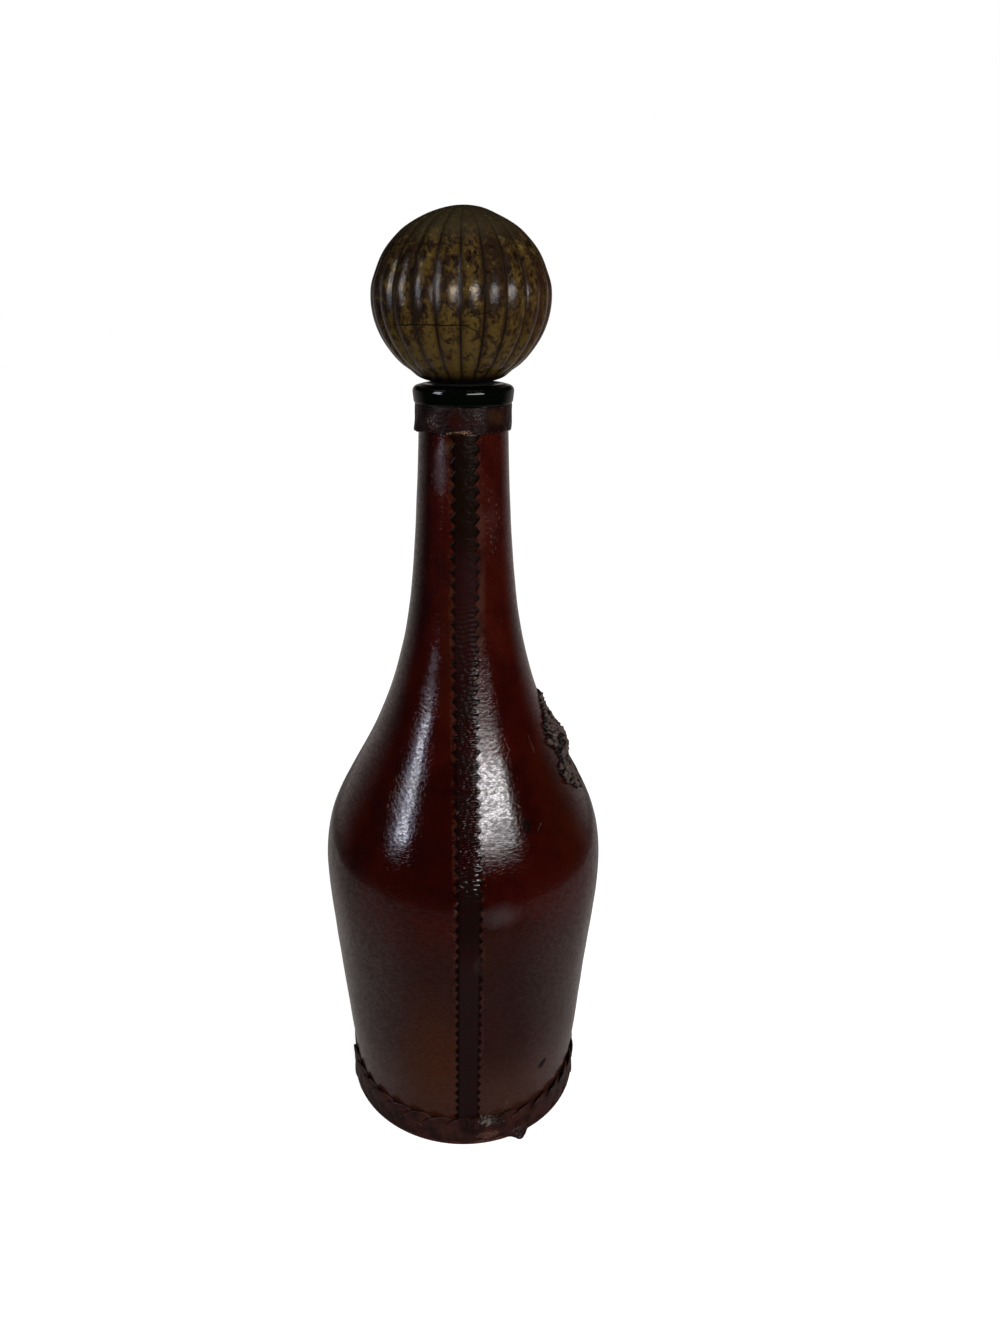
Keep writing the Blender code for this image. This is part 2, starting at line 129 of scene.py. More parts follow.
class DecanterSizes(PropertyGroup):
    """Sizes of the pieces that stand on the leather or in the bottle's mouth."""

    leather_thickness: length("Leather thickness", 0.0014, "Thickness of the two panels")
    seam_gap: length("Seam gap", 0.0003, "Gap between the panels under the strips")
    strip_width: length("Strip width", 0.0090, "Width over the points of the pinked edges")
    strip_thickness: length("Strip thickness", 0.0006, "Thickness of the seam strips")
    tooth_pitch: length("Tooth pitch", 0.0041, "Distance from one point of the pinking to the next")
    tooth_depth: length("Tooth depth", 0.0016, "Depth of the pinking")
    rib_pitch: length("Tooled line pitch", 0.00155, "Distance between the tooled lines on a strip")
    rib_height: length("Tooled line height", 0.00012, "Height of the tooled lines on a strip")
    collar_thickness: length("Collar thickness", 0.0009, "Thickness of the band round the neck")
    collar_lap: length("Collar lap", 0.0042, "Length over which the collar's ends overlap")
    lace_width: length("Lace width", 0.0056, "Width of one plaited lace")
    lace_thickness: length("Lace thickness", 0.0009, "Thickness of one plaited lace")
    plait_radius: length("Plait radius", 0.0429, "Radius of the plait's middle")
    foot_radius: length("Foot radius", 0.0434, "Radius of the disc under the base")
    lace_count: number("Laces", 3, 3, 3, "Laces in the plait")
    plait_turns: number("Plait turns", 11, 4, 24, "Times a lace crosses over and back round the foot")
    glass_wall: length("Glass wall", 0.0029, "Wall thickness of the bottle")
    glass_base: length("Glass base", 0.0055, "Thickness of the bottle's floor")
    lip_radius: length("Lip radius", 0.0155, "Outer radius of the glass lip")
    ball_radius: length("Ball radius", 0.0266, "Radius over the ribs of the ball")
    ball_half_height: length("Ball half height", 0.0245, "Half the ball's height before its foot is cut")
    rib_depth: length("Rib depth", 0.0009, "Depth of the grooves between the ball's ribs")
    rib_count: number("Ribs", 24, 8, 48, "Ribs round the ball")
    ornament_height: length("Ornament height", 0.1455, "Height of the vine ornament's middle")
    grape_radius: length("Grape radius", 0.0018, "Radius of one moulded grape")
    camera_distance: length("Camera distance", 0.294, "Distance of the camera from the bottle's axis")
    camera_height: length("Camera height", 0.28603, "Height of the camera over the floor")


class DecanterColours(PropertyGroup):
    """Colours of the finishes."""

    oxblood: colour("Oxblood", (0.0290, 0.0020, 0.0008), "Polished leather of the shoulder")
    deep_oxblood: colour("Deep oxblood", (0.0130, 0.0010, 0.0006), "Darker patches of the leather")
    neck_red: colour("Neck red", (0.0390, 0.0036, 0.0018), "Lighter patches of the neck")
    lower_brown: colour("Lower brown", (0.0200, 0.0040, 0.0022), "Leather below the belly")
    worn_orange: colour("Worn orange", (0.0500, 0.0110, 0.0018), "Worn patch beside the front strip")
    scuff: colour("Scuff", (0.1100, 0.0600, 0.0450), "Scratches and scuffs down to the raw leather")
    seam_leather: colour("Seam leather", (0.0085, 0.0032, 0.0026), "Strips over the seams")
    # Rubbed edge beside the strips, partly a painted highlight where the panels' edges catch light.
    seam_rim_and_highlight: colour("Seam rim", (0.0520, 0.0170, 0.0100), "Rubbed edge beside the strips")
    collar_leather: colour("Collar leather", (0.0140, 0.0034, 0.0028), "Band round the neck")
    plait_leather: colour("Plait leather", (0.0460, 0.0115, 0.0075), "Laces round the foot")
    relief_leather: colour("Relief leather", (0.0800, 0.0540, 0.0450), "Moulded vine ornament")
    suede: colour("Suede", (0.0800, 0.0500, 0.0300), "Flesh side of the leather under the base")
    gilt: colour("Gilt", (0.0800, 0.0505, 0.0125), "Gilt lacquer of the ball")
    tortoise: colour("Tortoise", (0.0200, 0.0100, 0.0048), "Brown mottling in the lacquer")
    bottle_green: colour("Bottle green", (0.0010, 0.0018, 0.0010), "Glass too dark to see through")
    cork: colour("Cork", (0.3600, 0.2200, 0.1200), "Cork of the stopper")
    beech: colour("Beech", (0.4500, 0.3100, 0.1800), "Wood of the dowel")
    floor: colour("Floor", (0.8000, 0.8000, 0.8000), "Plain floor")


# The outline as a curve
def natural_spline(places, values):
    """Return a smooth curve through the points, for one place or an array of them."""
    count = len(places)
    steps = np.diff(places)
    rises = np.diff(values) / steps
    matrix = np.eye(count)
    bends = np.zeros(count)
    for i in range(1, count - 1):
        matrix[i, i - 1:i + 2] = steps[i - 1], 2 * (steps[i - 1] + steps[i]), steps[i]
        bends[i] = 6 * (rises[i] - rises[i - 1])
    bends = np.linalg.solve(matrix, bends)

    def curve(place):
        i = np.clip(np.searchsorted(places, place) - 1, 0, count - 2)
        step = steps[i]
        left = places[i + 1] - place
        right = place - places[i]
        bend = (bends[i] * left ** 3 + bends[i + 1] * right ** 3) / (6 * step)
        level_left = (values[i] / step - bends[i] * step / 6) * left
        level_right = (values[i + 1] / step - bends[i + 1] * step / 6) * right
        return bend + level_left + level_right

    return curve


def outline_curve():
    """Return the leather's outer radius as a function of height."""
    rise = neck_top - BELLY_HEIGHT
    heights = [BELLY_HEIGHT * up for up, _ in WALL_SHARES]
    radii = [FOOT_RADIUS + (BELLY_RADIUS - FOOT_RADIUS) * out for _, out in WALL_SHARES]
    heights += [BELLY_HEIGHT + rise * up for up, _ in SHOULDER_SHARES]
    radii += [NECK_RADIUS + (BELLY_RADIUS - NECK_RADIUS) * out for _, out in SHOULDER_SHARES]
    return natural_spline(np.array(heights), np.array(radii))


leather_radius = outline_curve()


def leather_normal(height):
    """Return the leather's outward normal in the turning plane, as (radial, up)."""
    slope = (leather_radius(height + CLEARANCE) - leather_radius(height - CLEARANCE)) / (2 * CLEARANCE)
    reach = np.sqrt(1 + slope ** 2)
    return 1 / reach, -slope / reach


def skin_point(height, lift):
    """Return (radius, height) of a point that stands off the leather by lift."""
    out, up = leather_normal(height)
    return leather_radius(height) + lift * out, height + lift * up


def spread(*parts):
    """Return an array of points whose coordinates are the parts."""
    return np.stack(np.broadcast_arrays(*parts), axis=-1)


def around(radius, angle, height):
    """Return points at that radius, angle and height. Arrays may be given."""
    return spread(radius * np.sin(angle), -radius * np.cos(angle), height)


def on_leather(angle, height, lift=0.0):
    """Return points that stand off the leather by lift."""
    radius, level = skin_point(height, lift)
    return around(radius, angle, level)


def gentle_waves(points, size, seed):
    """Return smooth waves of about that size over an array of points, mostly within -1 and 1."""
    draw = np.random.default_rng(seed)
    total = np.zeros(points.shape[:-1])
    for _ in range(10):
        aim = draw.normal(size=points.shape[-1])
        aim *= draw.uniform(0.6, 1.5) * math.tau / size / np.linalg.norm(aim)
        total += np.sin(points @ aim + draw.uniform(0, math.tau))
    return total / 3


def ease(values, low, high):
    """Return a smooth step from 0 at low to 1 at high."""
    share = np.clip((values - low) / (high - low), 0, 1)
    return share * share * (3 - 2 * share)


# Nodes written as Python expressions
class Wire:
    """One output of a node. Arithmetic on it adds Math nodes."""

    def __init__(self, sheet, socket):
        self.sheet = sheet
        self.socket = socket

    def __add__(self, other):
        return self.sheet.math("ADD", self, other)

    def __sub__(self, other):
        return self.sheet.math("SUBTRACT", self, other)

    def __rsub__(self, other):
        return self.sheet.math("SUBTRACT", other, self)

    def __mul__(self, other):
        return self.sheet.math("MULTIPLY", self, other)

    def __truediv__(self, other):
        return self.sheet.math("DIVIDE", self, other)

    def __rtruediv__(self, other):
        return self.sheet.math("DIVIDE", other, self)

    def __pow__(self, power):
        return self.sheet.math("POWER", self, power)

    def __abs__(self):
        return self.sheet.math("ABSOLUTE", self)

    __radd__ = __add__
    __rmul__ = __mul__

    def output(self, name):
        """Return another output of the same node."""
        return Wire(self.sheet, self.socket.node.outputs[name])


class Sheet:
    """Adds nodes to one shader or geometry tree."""

    def __init__(self, tree):
        self.tree = tree

    def add(self, kind, settings=None, inputs=None, output=0):
        """Add a node: its settings first, then the values or links of its sockets."""
        node = self.tree.nodes.new(kind)
        for name, value in (settings or {}).items():
            setattr(node, name, value)
        for name, value in (inputs or {}).items():
            if isinstance(value, Wire):
                self.tree.links.new(value.socket, node.inputs[name])
            else:
                node.inputs[name].default_value = value
        return Wire(self, node.outputs[output])

    def math(self, operation, *values, clamp=False):
        """Return the result of a Math node."""
        settings = {"operation": operation, "use_clamp": clamp}
        return self.add("ShaderNodeMath", settings, dict(enumerate(values)))

    def most(self, value, *others):
        """Return the largest of the values."""
        for other in others:
            value = self.math("MAXIMUM", value, other)
        return value

    def vector_math(self, operation, *values):
        """Return the result of a Vector Math node."""
        return self.add("ShaderNodeVectorMath", {"operation": operation}, dict(enumerate(values)))

    def split(self, vector):
        """Return the three parts of a vector."""
        whole = self.add("ShaderNodeSeparateXYZ", inputs={0: vector})
        return whole, whole.output(1), whole.output(2)

    def join(self, x, y, z):
        """Return the vector of three parts."""
        return self.add("ShaderNodeCombineXYZ", inputs={0: x, 1: y, 2: z})

    def fade(self, value, low, high):
        """Return a smooth step from 0 at low to 1 at high. Low may be the larger one."""
        return self.add("ShaderNodeMapRange", {"interpolation_type": "SMOOTHSTEP"},
                        {"Value": value, "From Min": low, "From Max": high})

    def noise(self, scale, detail=2.0, roughness=0.5, place=None, distortion=0.0):
        """Return cloud noise from 0 to 1."""
        inputs = {"Scale": scale, "Detail": detail, "Roughness": roughness, "Distortion": distortion}
        if place is not None:
            inputs["Vector"] = place
        return self.add("ShaderNodeTexNoise", None, inputs)

    def cells(self, scale, place, feature="F1", output="Distance"):
        """Return a pattern of cells."""
        inputs = {"Vector": place, "Scale": scale}
        return self.add("ShaderNodeTexVoronoi", {"feature": feature}, inputs, output)

    def mix(self, factor, first, second):
        """Return a colour between two colours."""
        inputs = {0: factor}
        for socket, value in ((6, first), (7, second)):
            inputs[socket] = value if isinstance(value, Wire) else (*value, 1)
        return self.add("ShaderNodeMix", {"data_type": "RGBA"}, inputs, 2)


class Finish(Sheet):
    """A material in the making, with places on the object ready to use."""

    def __init__(self, name, viewport, constants):
        self.material = bpy.data.materials.new(name)
        self.material.use_nodes = True
        self.material.diffuse_color = (*viewport, 1)
        super().__init__(self.material.node_tree)
        self.shader = self.tree.nodes["Principled BSDF"]
        for socket, value in constants.items():
            self.shader.inputs[socket].default_value = value
        self.place = self.add("ShaderNodeTexCoord", output="Object")
        self.x, self.y, self.height = self.split(self.place)
        self.angle = self.math("ARCTAN2", self.x, self.y * -1)
        self.radius = self.math("SQRT", self.x * self.x + self.y * self.y)
        self.from_seam = self.math("MINIMUM", abs(self.angle), math.pi - abs(self.angle)) * self.radius

    def noise(self, scale, detail=2.0, roughness=0.5, place=None, distortion=0.0):
        """Return cloud noise from 0 to 1, on the object unless another place is given."""
        return super().noise(scale, detail, roughness, place or self.place, distortion)

    def level(self, low, high):
        """Return a smooth step from 0 to 1 between two heights."""
        return self.fade(self.height, low, high)

    def base(self, factor, first, second):
        """Start the tone between two colours."""
        self.tone = self.mix(factor, first, second)

    def tint(self, mask, tint):
        """Lay a colour over the tone where the mask is."""
        self.tone = self.mix(mask, self.tone, tint)

    def feed(self, name, value):
        """Link a value to a socket of the shader."""
        self.tree.links.new(value.socket, self.shader.inputs[name])

    def patch(self, degrees, height, half_width, half_height, radius, soft=0.6, ragged=0.0):
        """Return 1 inside an oval on the surface, fading to 0 at its edge."""
        across = (self.angle - math.radians(degrees)) * (radius / half_width)
        up = (self.height - height) / half_height
        reach = self.math("SQRT", across * across + up * up)
        if ragged:
            rough = self.noise(2.2 / max(half_width, half_height), 4, 0.6)
            reach = reach + (rough - 0.5) * ragged
        return self.fade(reach, 1.0, 1.0 - soft)

    def stroke(self, start, end, width, radius):
        """Return 1 along a thin line between two places, each (degrees, height)."""
        run = math.radians(end[0] - start[0]) * radius
        rise = end[1] - start[1]
        across = (self.angle - math.radians(start[0])) * radius
        up = self.height - start[1]
        share = self.math("MULTIPLY", across * run + up * rise, 1 / (run * run + rise * rise), clamp=True)
        off_across = across - share * run
        off_up = up - share * rise
        off = self.math("SQRT", off_across * off_across + off_up * off_up)
        return self.fade(off, width, width * 0.3)

    def finish(self, roughness, relief, strength, distance):
        """Link the tone, the roughness and a bump. Return the material."""
        inputs = {"Strength": strength, "Distance": distance, "Height": relief}
        bump = self.add("ShaderNodeBump", None, inputs)
        self.feed("Base Color", self.tone)
        self.feed("Roughness", roughness)
        self.feed("Normal", bump)
        return self.material


# Finishes
GRAIN_SCALE = 900
COAT = {"Coat Roughness": 0.08, "Coat IOR": 1.5}
COLLAR_RADIUS = 0.0147


def leather_grain(sheet, scale=GRAIN_SCALE):
    """Return the relief of fine leather and its polish, which is worn off in the creases."""
    flat = sheet.vector_math("MULTIPLY", sheet.place, (1.0, 1.0, 2.0))
    drift = sheet.noise(scale * 0.6, 2, 0.5, flat).output("Color")
    bent = sheet.vector_math("ADD", flat, sheet.vector_math("MULTIPLY", drift, (0.0012, 0.0012, 0.0012)))
    creases = sheet.fade(sheet.cells(scale, bent, "DISTANCE_TO_EDGE"), 0.16, 0.0)
    swells = sheet.noise(scale * 0.7, 2, 0.5, sheet.vector_math("MULTIPLY", sheet.place, (1.0, 1.0, 1.8)))
    return swells - creases * 0.12, (1 - creases * 0.8) * sheet.fade(swells, 0.36, 0.62)


def oxblood_leather(name, colours, seed):
    """Return the polished leather of a panel, with its patches, scratches and scuffs, painted shade on the
    neck's left and a partly painted highlight beside the seams.
    """
    sheet = Finish(name, colours.oxblood, {"Specular IOR Level": 0.32, **COAT})
    moved = sheet.vector_math("ADD", sheet.place, (seed, 0.0, seed))
    broad = sheet.noise(22, 3, 0.5, moved)
    blotches = sheet.noise(95, 5, 0.62, moved)
    fine = sheet.noise(900, 3, 0.6, moved)
    sheet.base(sheet.fade(broad * 0.6 + blotches * 0.4, 0.40, 0.62), colours.deep_oxblood, colours.oxblood)
    low = sheet.fade(sheet.height + (broad - 0.5) * 0.03, 0.104, 0.084)
    high = sheet.fade(sheet.height + (broad - 0.5) * 0.03, 0.165, 0.200)
    sheet.tint(high * blotches, colours.neck_red)
    sheet.tint(low * (0.6 + blotches * 0.6), colours.lower_brown)
    # Painted shade: a darker violet band down the left side of the neck.
    left_neck_shade = sheet.fade(sheet.angle, math.radians(-32), math.radians(-50)) * high
    sheet.tint(left_neck_shade * 0.75, (0.0090, 0.0016, 0.0024))
    plum = low * sheet.patch(24, 0.070, 0.020, 0.034, 0.047, 0.9, 0.8)
    sheet.tint(plum * 0.7, (0.0140, 0.0035, 0.0035))
    foot = sheet.level(0.046, 0.022) * (0.18 + broad * 0.5)
    sheet.tint(foot, (0.0700, 0.0270, 0.0180))
    worn = sheet.patch(-16, 0.036, 0.020, 0.046, 0.044, 0.9, 0.6)
    worn_high = sheet.patch(-9, 0.19, 0.007, 0.05, 0.018, 0.9, 0.6)
    right_wear = sheet.patch(52, 0.13, 0.016, 0.035, 0.044, 0.9, 0.6)
    sheet.tint(worn * (0.42 + blotches * 0.6), colours.worn_orange)
    sheet.tint(worn_high * 0.45 * blotches + right_wear * 0.3 * broad, colours.worn_orange)
    # Rim beside the strips: partly a rubbed edge, partly a painted highlight along the panels' edges.
    rim = sheet.fade(sheet.from_seam, 0.0056, 0.0048) * sheet.fade(fine + (blotches - 0.5) * 0.6, 0.44, 0.60)
    sheet.tint(rim * (0.2 + blotches * 0.7), colours.seam_rim_and_highlight)
    bared = sheet.fade(sheet.from_seam, 0.0072, 0.0050) * sheet.fade(sheet.angle, 0.0, 0.1)
    bared = bared * sheet.level(0.160, 0.185) * sheet.level(0.243, 0.225)
    sheet.tint(bared * sheet.fade(blotches, 0.34, 0.62) * 0.8, (0.050, 0.018, 0.012))
    bare = sheet.patch(-19, 0.2446, 0.0020, 0.0030, 0.0141, 0.7, 0.9)
    sheet.tint(bare * 0.6, (0.070, 0.034, 0.010))
    scuffs = sheet.most(
        sheet.patch(-31, 0.238, 0.005, 0.011, 0.0139, 0.8, 0.9),
        sheet.patch(36, 0.223, 0.0045, 0.012, 0.0146, 0.8, 0.9))
    flecks = sheet.fade(fine, 0.57, 0.68)
    sheet.tint(scuffs * flecks * 0.8, colours.scuff)
    streaks = sheet.noise(80, 5, 0.65, sheet.vector_math("MULTIPLY", moved, (1.0, 1.0, 0.4)))
    sheet.tint(high * sheet.fade(streaks, 0.50, 0.62) * 0.65, (0.0130, 0.0022, 0.0022))
    sheet.tint(high * sheet.fade(streaks, 0.48, 0.40) * 0.12, (0.0780, 0.0130, 0.0080))
    sheet.tint(high * flecks * 0.06, colours.scuff)
    lines = (
        # start and end as (degrees, height), width, radius
        ((46.0, 0.1529), (46.9, 0.1503), 0.00025, 0.029),
        ((46.7, 0.1505), (47.0, 0.1477), 0.00050, 0.030),
        ((26.5, 0.1535), (28.1, 0.1510), 0.00020, 0.029),
        ((28.1, 0.1510), (24.6, 0.1486), 0.00020, 0.030),
        ((32.6, 0.1268), (35.0, 0.1282), 0.00024, 0.041),
        ((17.5, 0.0130), (21.0, 0.0182), 0.00150, 0.042),
        ((-8.1, 0.0982), (-4.6, 0.0962), 0.00030, 0.049),
        ((-5.2, 0.1050), (-4.5, 0.1085), 0.00060, 0.049),
    )
    scratches = 0.0
    for start, end, width, radius in lines:
        scratches = sheet.most(scratches, sheet.stroke(start, end, width, radius))
    sheet.tint(scratches * (0.12 + flecks * 0.7), colours.scuff)
    hazy = sheet.patch(12, 0.1030, 0.0085, 0.0062, 0.0490, 0.9, 0.7)
    sheet.tint(hazy * 0.36, (0.075, 0.058, 0.055))
    stains = sheet.patch(27.5, 0.1290, 0.0026, 0.0028, 0.0410, 0.5, 0.6)
    hole = sheet.stroke((37.5, 0.0287), (38.4, 0.0295), 0.00230, 0.0438)
    sheet.tint(sheet.most(stains * 0.8, hole), (0.004, 0.002, 0.0014))
    nicks = sheet.fade(sheet.noise(330, 2, 0.5, moved), 0.74, 0.80)
    sheet.tint(nicks * 0.5, colours.deep_oxblood)
    grain, polish = leather_grain(sheet)
    sheet.feed("Coat Weight", polish * (1 - hole) * 0.8)
    roughness = 0.09 + (blotches - 0.5) * 0.06 - low * 0.03 + scuffs * 0.25 + scratches * 0.2
    sheet.feed("Metallic", hole)
    relief = grain * (1 - high * 0.5) - hole * 2.0 - scratches * 0.8 + blotches * 0.4
    return sheet.finish(roughness, relief, 0.50, 0.00017)


def seam_leather(name, colours, seed):
    """Return the dark leather of a strip, rubbed along its edges, with painted shade along its pinked teeth.
    """
    gloss = {"Specular IOR Level": 0.05, **COAT, "Coat Roughness": 0.10}
    sheet = Finish(name, colours.seam_leather, gloss)
    moved = sheet.vector_math("ADD", sheet.place, (seed, 0.0, seed))
    blotches = sheet.noise(110, 4, 0.6, moved)
    fine = sheet.noise(1100, 3, 0.6, moved)
    sheet.base(sheet.fade(blotches, 0.38, 0.62), colours.seam_leather, colours.deep_oxblood)
    neck = sheet.level(0.16, 0.19) * sheet.level(0.222, 0.205)
    sheet.tint(neck * 0.7, (0.0150, 0.0022, 0.0014))
    top = sheet.level(0.208, 0.224)
    sheet.tint(top * 0.85, (0.0052, 0.0024, 0.0009))
    low = sheet.level(0.10, 0.08)
    sheet.tint(low * 0.5, (0.0200, 0.0110, 0.0115))
    # Painted shade along the pinked teeth, where they stand over the panels.
    shaded_teeth = sheet.fade(sheet.from_seam, 0.0028, 0.0035)
    sheet.tint(shaded_teeth * 0.85, (0.0030, 0.0012, 0.0009))
    worn = sheet.patch(3.6, 0.0848, 0.0028, 0.0045, 0.0485, 0.7, 0.6)
    sheet.tint(worn * 0.5, (0.030, 0.018, 0.015))
    flecks = sheet.fade(fine, 0.66, 0.76)
    sheet.tint(flecks * 0.25, colours.scuff)
    grain, polish = leather_grain(sheet, 1100)
    rubbed = sheet.fade(sheet.from_seam, 0.0014, 0.0026) * sheet.fade(sheet.angle, 0.0, 0.02)
    polish = (polish * 0.45 + rubbed * 0.32) * sheet.level(0.190, 0.155)
    polish = polish * sheet.level(0.100, 0.116)
    sheet.feed("Coat Weight", polish)
    roughness = 0.22 + (blotches - 0.5) * 0.1 + worn * 0.15 + neck * 0.2
    relief = (grain + blotches * 0.5) * (1 - rubbed * 0.4)
    return sheet.finish(roughness, relief, 0.50, 0.00015)


def collar_leather(colours):
    """Return the dark, scuffed leather of the collar, torn to the tan at its lap."""
    sheet = Finish("collar_leather", colours.collar_leather, {"Specular IOR Level": 0.08})
    blotches = sheet.noise(260, 5, 0.65)
    fine = sheet.noise(1500, 3, 0.6)
    sheet.base(sheet.fade(blotches, 0.35, 0.65), (0.0065, 0.0020, 0.0017), colours.collar_leather)
    tanned = sheet.patch(38, 0.2535, 0.0050, 0.0030, COLLAR_RADIUS, 0.8, 0.9)
    sheet.tint(tanned * blotches, (0.050, 0.018, 0.006))
    crimson = sheet.patch(-12, 0.2526, 0.0040, 0.0030, COLLAR_RADIUS, 0.7, 0.7)
    sheet.tint(crimson * 0.8, (0.0190, 0.0018, 0.0012))
    scuffs = sheet.most(
        sheet.patch(-40, 0.2522, 0.0034, 0.0028, COLLAR_RADIUS, 0.7, 1.1),
        sheet.patch(14, 0.2532, 0.0020, 0.0022, COLLAR_RADIUS, 0.8, 1.0))
    sheet.tint(scuffs * sheet.fade(fine, 0.50, 0.62) * 0.8, (0.120, 0.078, 0.074))
    lower = sheet.level(collar_bottom + 0.0016, collar_bottom + 0.0003)
    upper = sheet.level(neck_top - 0.0012, neck_top - 0.0002)
    edge = sheet.most(lower, upper)
    sheet.tint(edge * sheet.fade(fine, 0.50, 0.44) * 0.8, (0.0025, 0.0012, 0.0010))
    sheet.tint(edge * sheet.fade(fine, 0.56, 0.66) * 0.6, (0.070, 0.036, 0.024))
    # Painted shade in two creases of the collar, which the bump also dents.
    fold_shade = sheet.most(
        sheet.stroke((-66, 0.2490), (-62, 0.2562), 0.0006, COLLAR_RADIUS),
        sheet.stroke((60, 0.2490), (63, 0.2562), 0.0005, COLLAR_RADIUS))
    sheet.tint(fold_shade * 0.85, (0.0020, 0.0010, 0.0008))
    torn = sheet.patch(2.0, collar_bottom + 0.0006, 0.0017, 0.0009, COLLAR_RADIUS, 0.5, 0.8)
    tail = sheet.stroke((-21, collar_bottom + 0.0003), (-1, collar_bottom + 0.0009), 0.0005, COLLAR_RADIUS)
    torn = sheet.most(torn, tail * 0.7)
    sheet.tint(torn * sheet.fade(fine, 0.34, 0.56), (0.170, 0.100, 0.052))
    grain, _ = leather_grain(sheet, 1200)
    roughness = 0.32 + (blotches - 0.5) * 0.25 + torn * 0.3 + scuffs * 0.1
    relief = grain + blotches * 2.0 + torn * fine * 2.0 + scuffs * fine - fold_shade
    return sheet.finish(roughness, relief, 0.55, 0.0003)


def plait_leather(colours):
    """Return the leather of the laces round the foot, with old glue and a worn place."""
    sheet = Finish("plait_leather", colours.plait_leather, {"Specular IOR Level": 0.22})
    blotches = sheet.noise(190, 5, 0.62)
    fine = sheet.noise(1300, 3, 0.6)
    sheet.base(sheet.fade(blotches, 0.34, 0.66), (0.0120, 0.0030, 0.0022), colours.plait_leather)
    sheet.tint(sheet.fade(fine, 0.58, 0.74) * 0.5, (0.050, 0.026, 0.020))
    sheet.tint(sheet.level(0.0075, 0.002) * 0.35, (0.026, 0.010, 0.009))
    worn = sheet.patch(10, 0.0042, 0.0058, 0.0024, 0.043, 0.6, 0.8)
    sheet.tint(worn * sheet.fade(fine, 0.35, 0.6) * 0.9, (0.120, 0.050, 0.036))
    roughness = 0.40 + (blotches - 0.5) * 0.25 + worn * 0.15
    grain, _ = leather_grain(sheet, 1200)
    return sheet.finish(roughness, grain + blotches * 1.2, 0.45, 0.0003)


def old_glue():
    """Return the greyish green of old glue on the plait."""
    sheet = Finish("old_glue", (0.10, 0.10, 0.07), {"Specular IOR Level": 0.4})
    blotches = sheet.noise(800, 4, 0.6)
    sheet.base(sheet.fade(blotches, 0.44, 0.58), (0.010, 0.006, 0.004), (0.150, 0.135, 0.105))
    old = sheet.fade(sheet.angle, math.radians(9), math.radians(13))
    sheet.tint(old * 0.85, (0.022, 0.017, 0.009))
    return sheet.finish(0.3 + blotches * 0.2, blotches, 0.8, 0.0005)


def moulded_leather(colours):
    """Return the greyed leather of the ornament, dark in its hollows."""
    sheet = Finish("moulded_leather", colours.relief_leather, {"Specular IOR Level": 0.25})
    blotches = sheet.noise(240, 5, 0.65)
    fine = sheet.noise(1400, 3, 0.6)
    depth = sheet.add("ShaderNodeAttribute", {"attribute_name": "relief"}, output="Fac")
    raised = sheet.fade(depth + (blotches - 0.5) * 0.4, 0.30, 0.62)
    sheet.base(raised, (0.0040, 0.0015, 0.0013), colours.relief_leather)
    sheet.tint(sheet.fade(depth, 0.72, 1.0) * sheet.fade(fine, 0.45, 0.7) * 0.6, (0.150, 0.110, 0.095))
    roughness = 0.42 + (blotches - 0.5) * 0.25
    grain, _ = leather_grain(sheet, 1200)
    return sheet.finish(roughness, grain + blotches * 1.2, 0.5, 0.0003)


def suede_leather(colours):
    """Return the napped flesh side of the leather under the base."""
    sheet = Finish("suede_leather", colours.suede, {"Specular IOR Level": 0.15})
    blotches = sheet.noise(60, 5, 0.6)
    nap = sheet.noise(2600, 4, 0.7)
    sheet.base(sheet.fade(blotches * 0.6 + nap * 0.4, 0.35, 0.65), (0.045, 0.026, 0.016), colours.suede)
    rubbed = sheet.fade(sheet.radius, disc_radius - 0.0030, disc_radius - 0.0006)
    sheet.tint(rubbed, colours.plait_leather)
    worn = sheet.patch(10, 0.001, 0.0065, 0.003, 0.0434, 0.6, 0.8)
    sheet.tint(worn * rubbed * blotches, (0.120, 0.050, 0.036))
    return sheet.finish(0.8 + nap * 0.15, nap, 0.5, 0.0003)


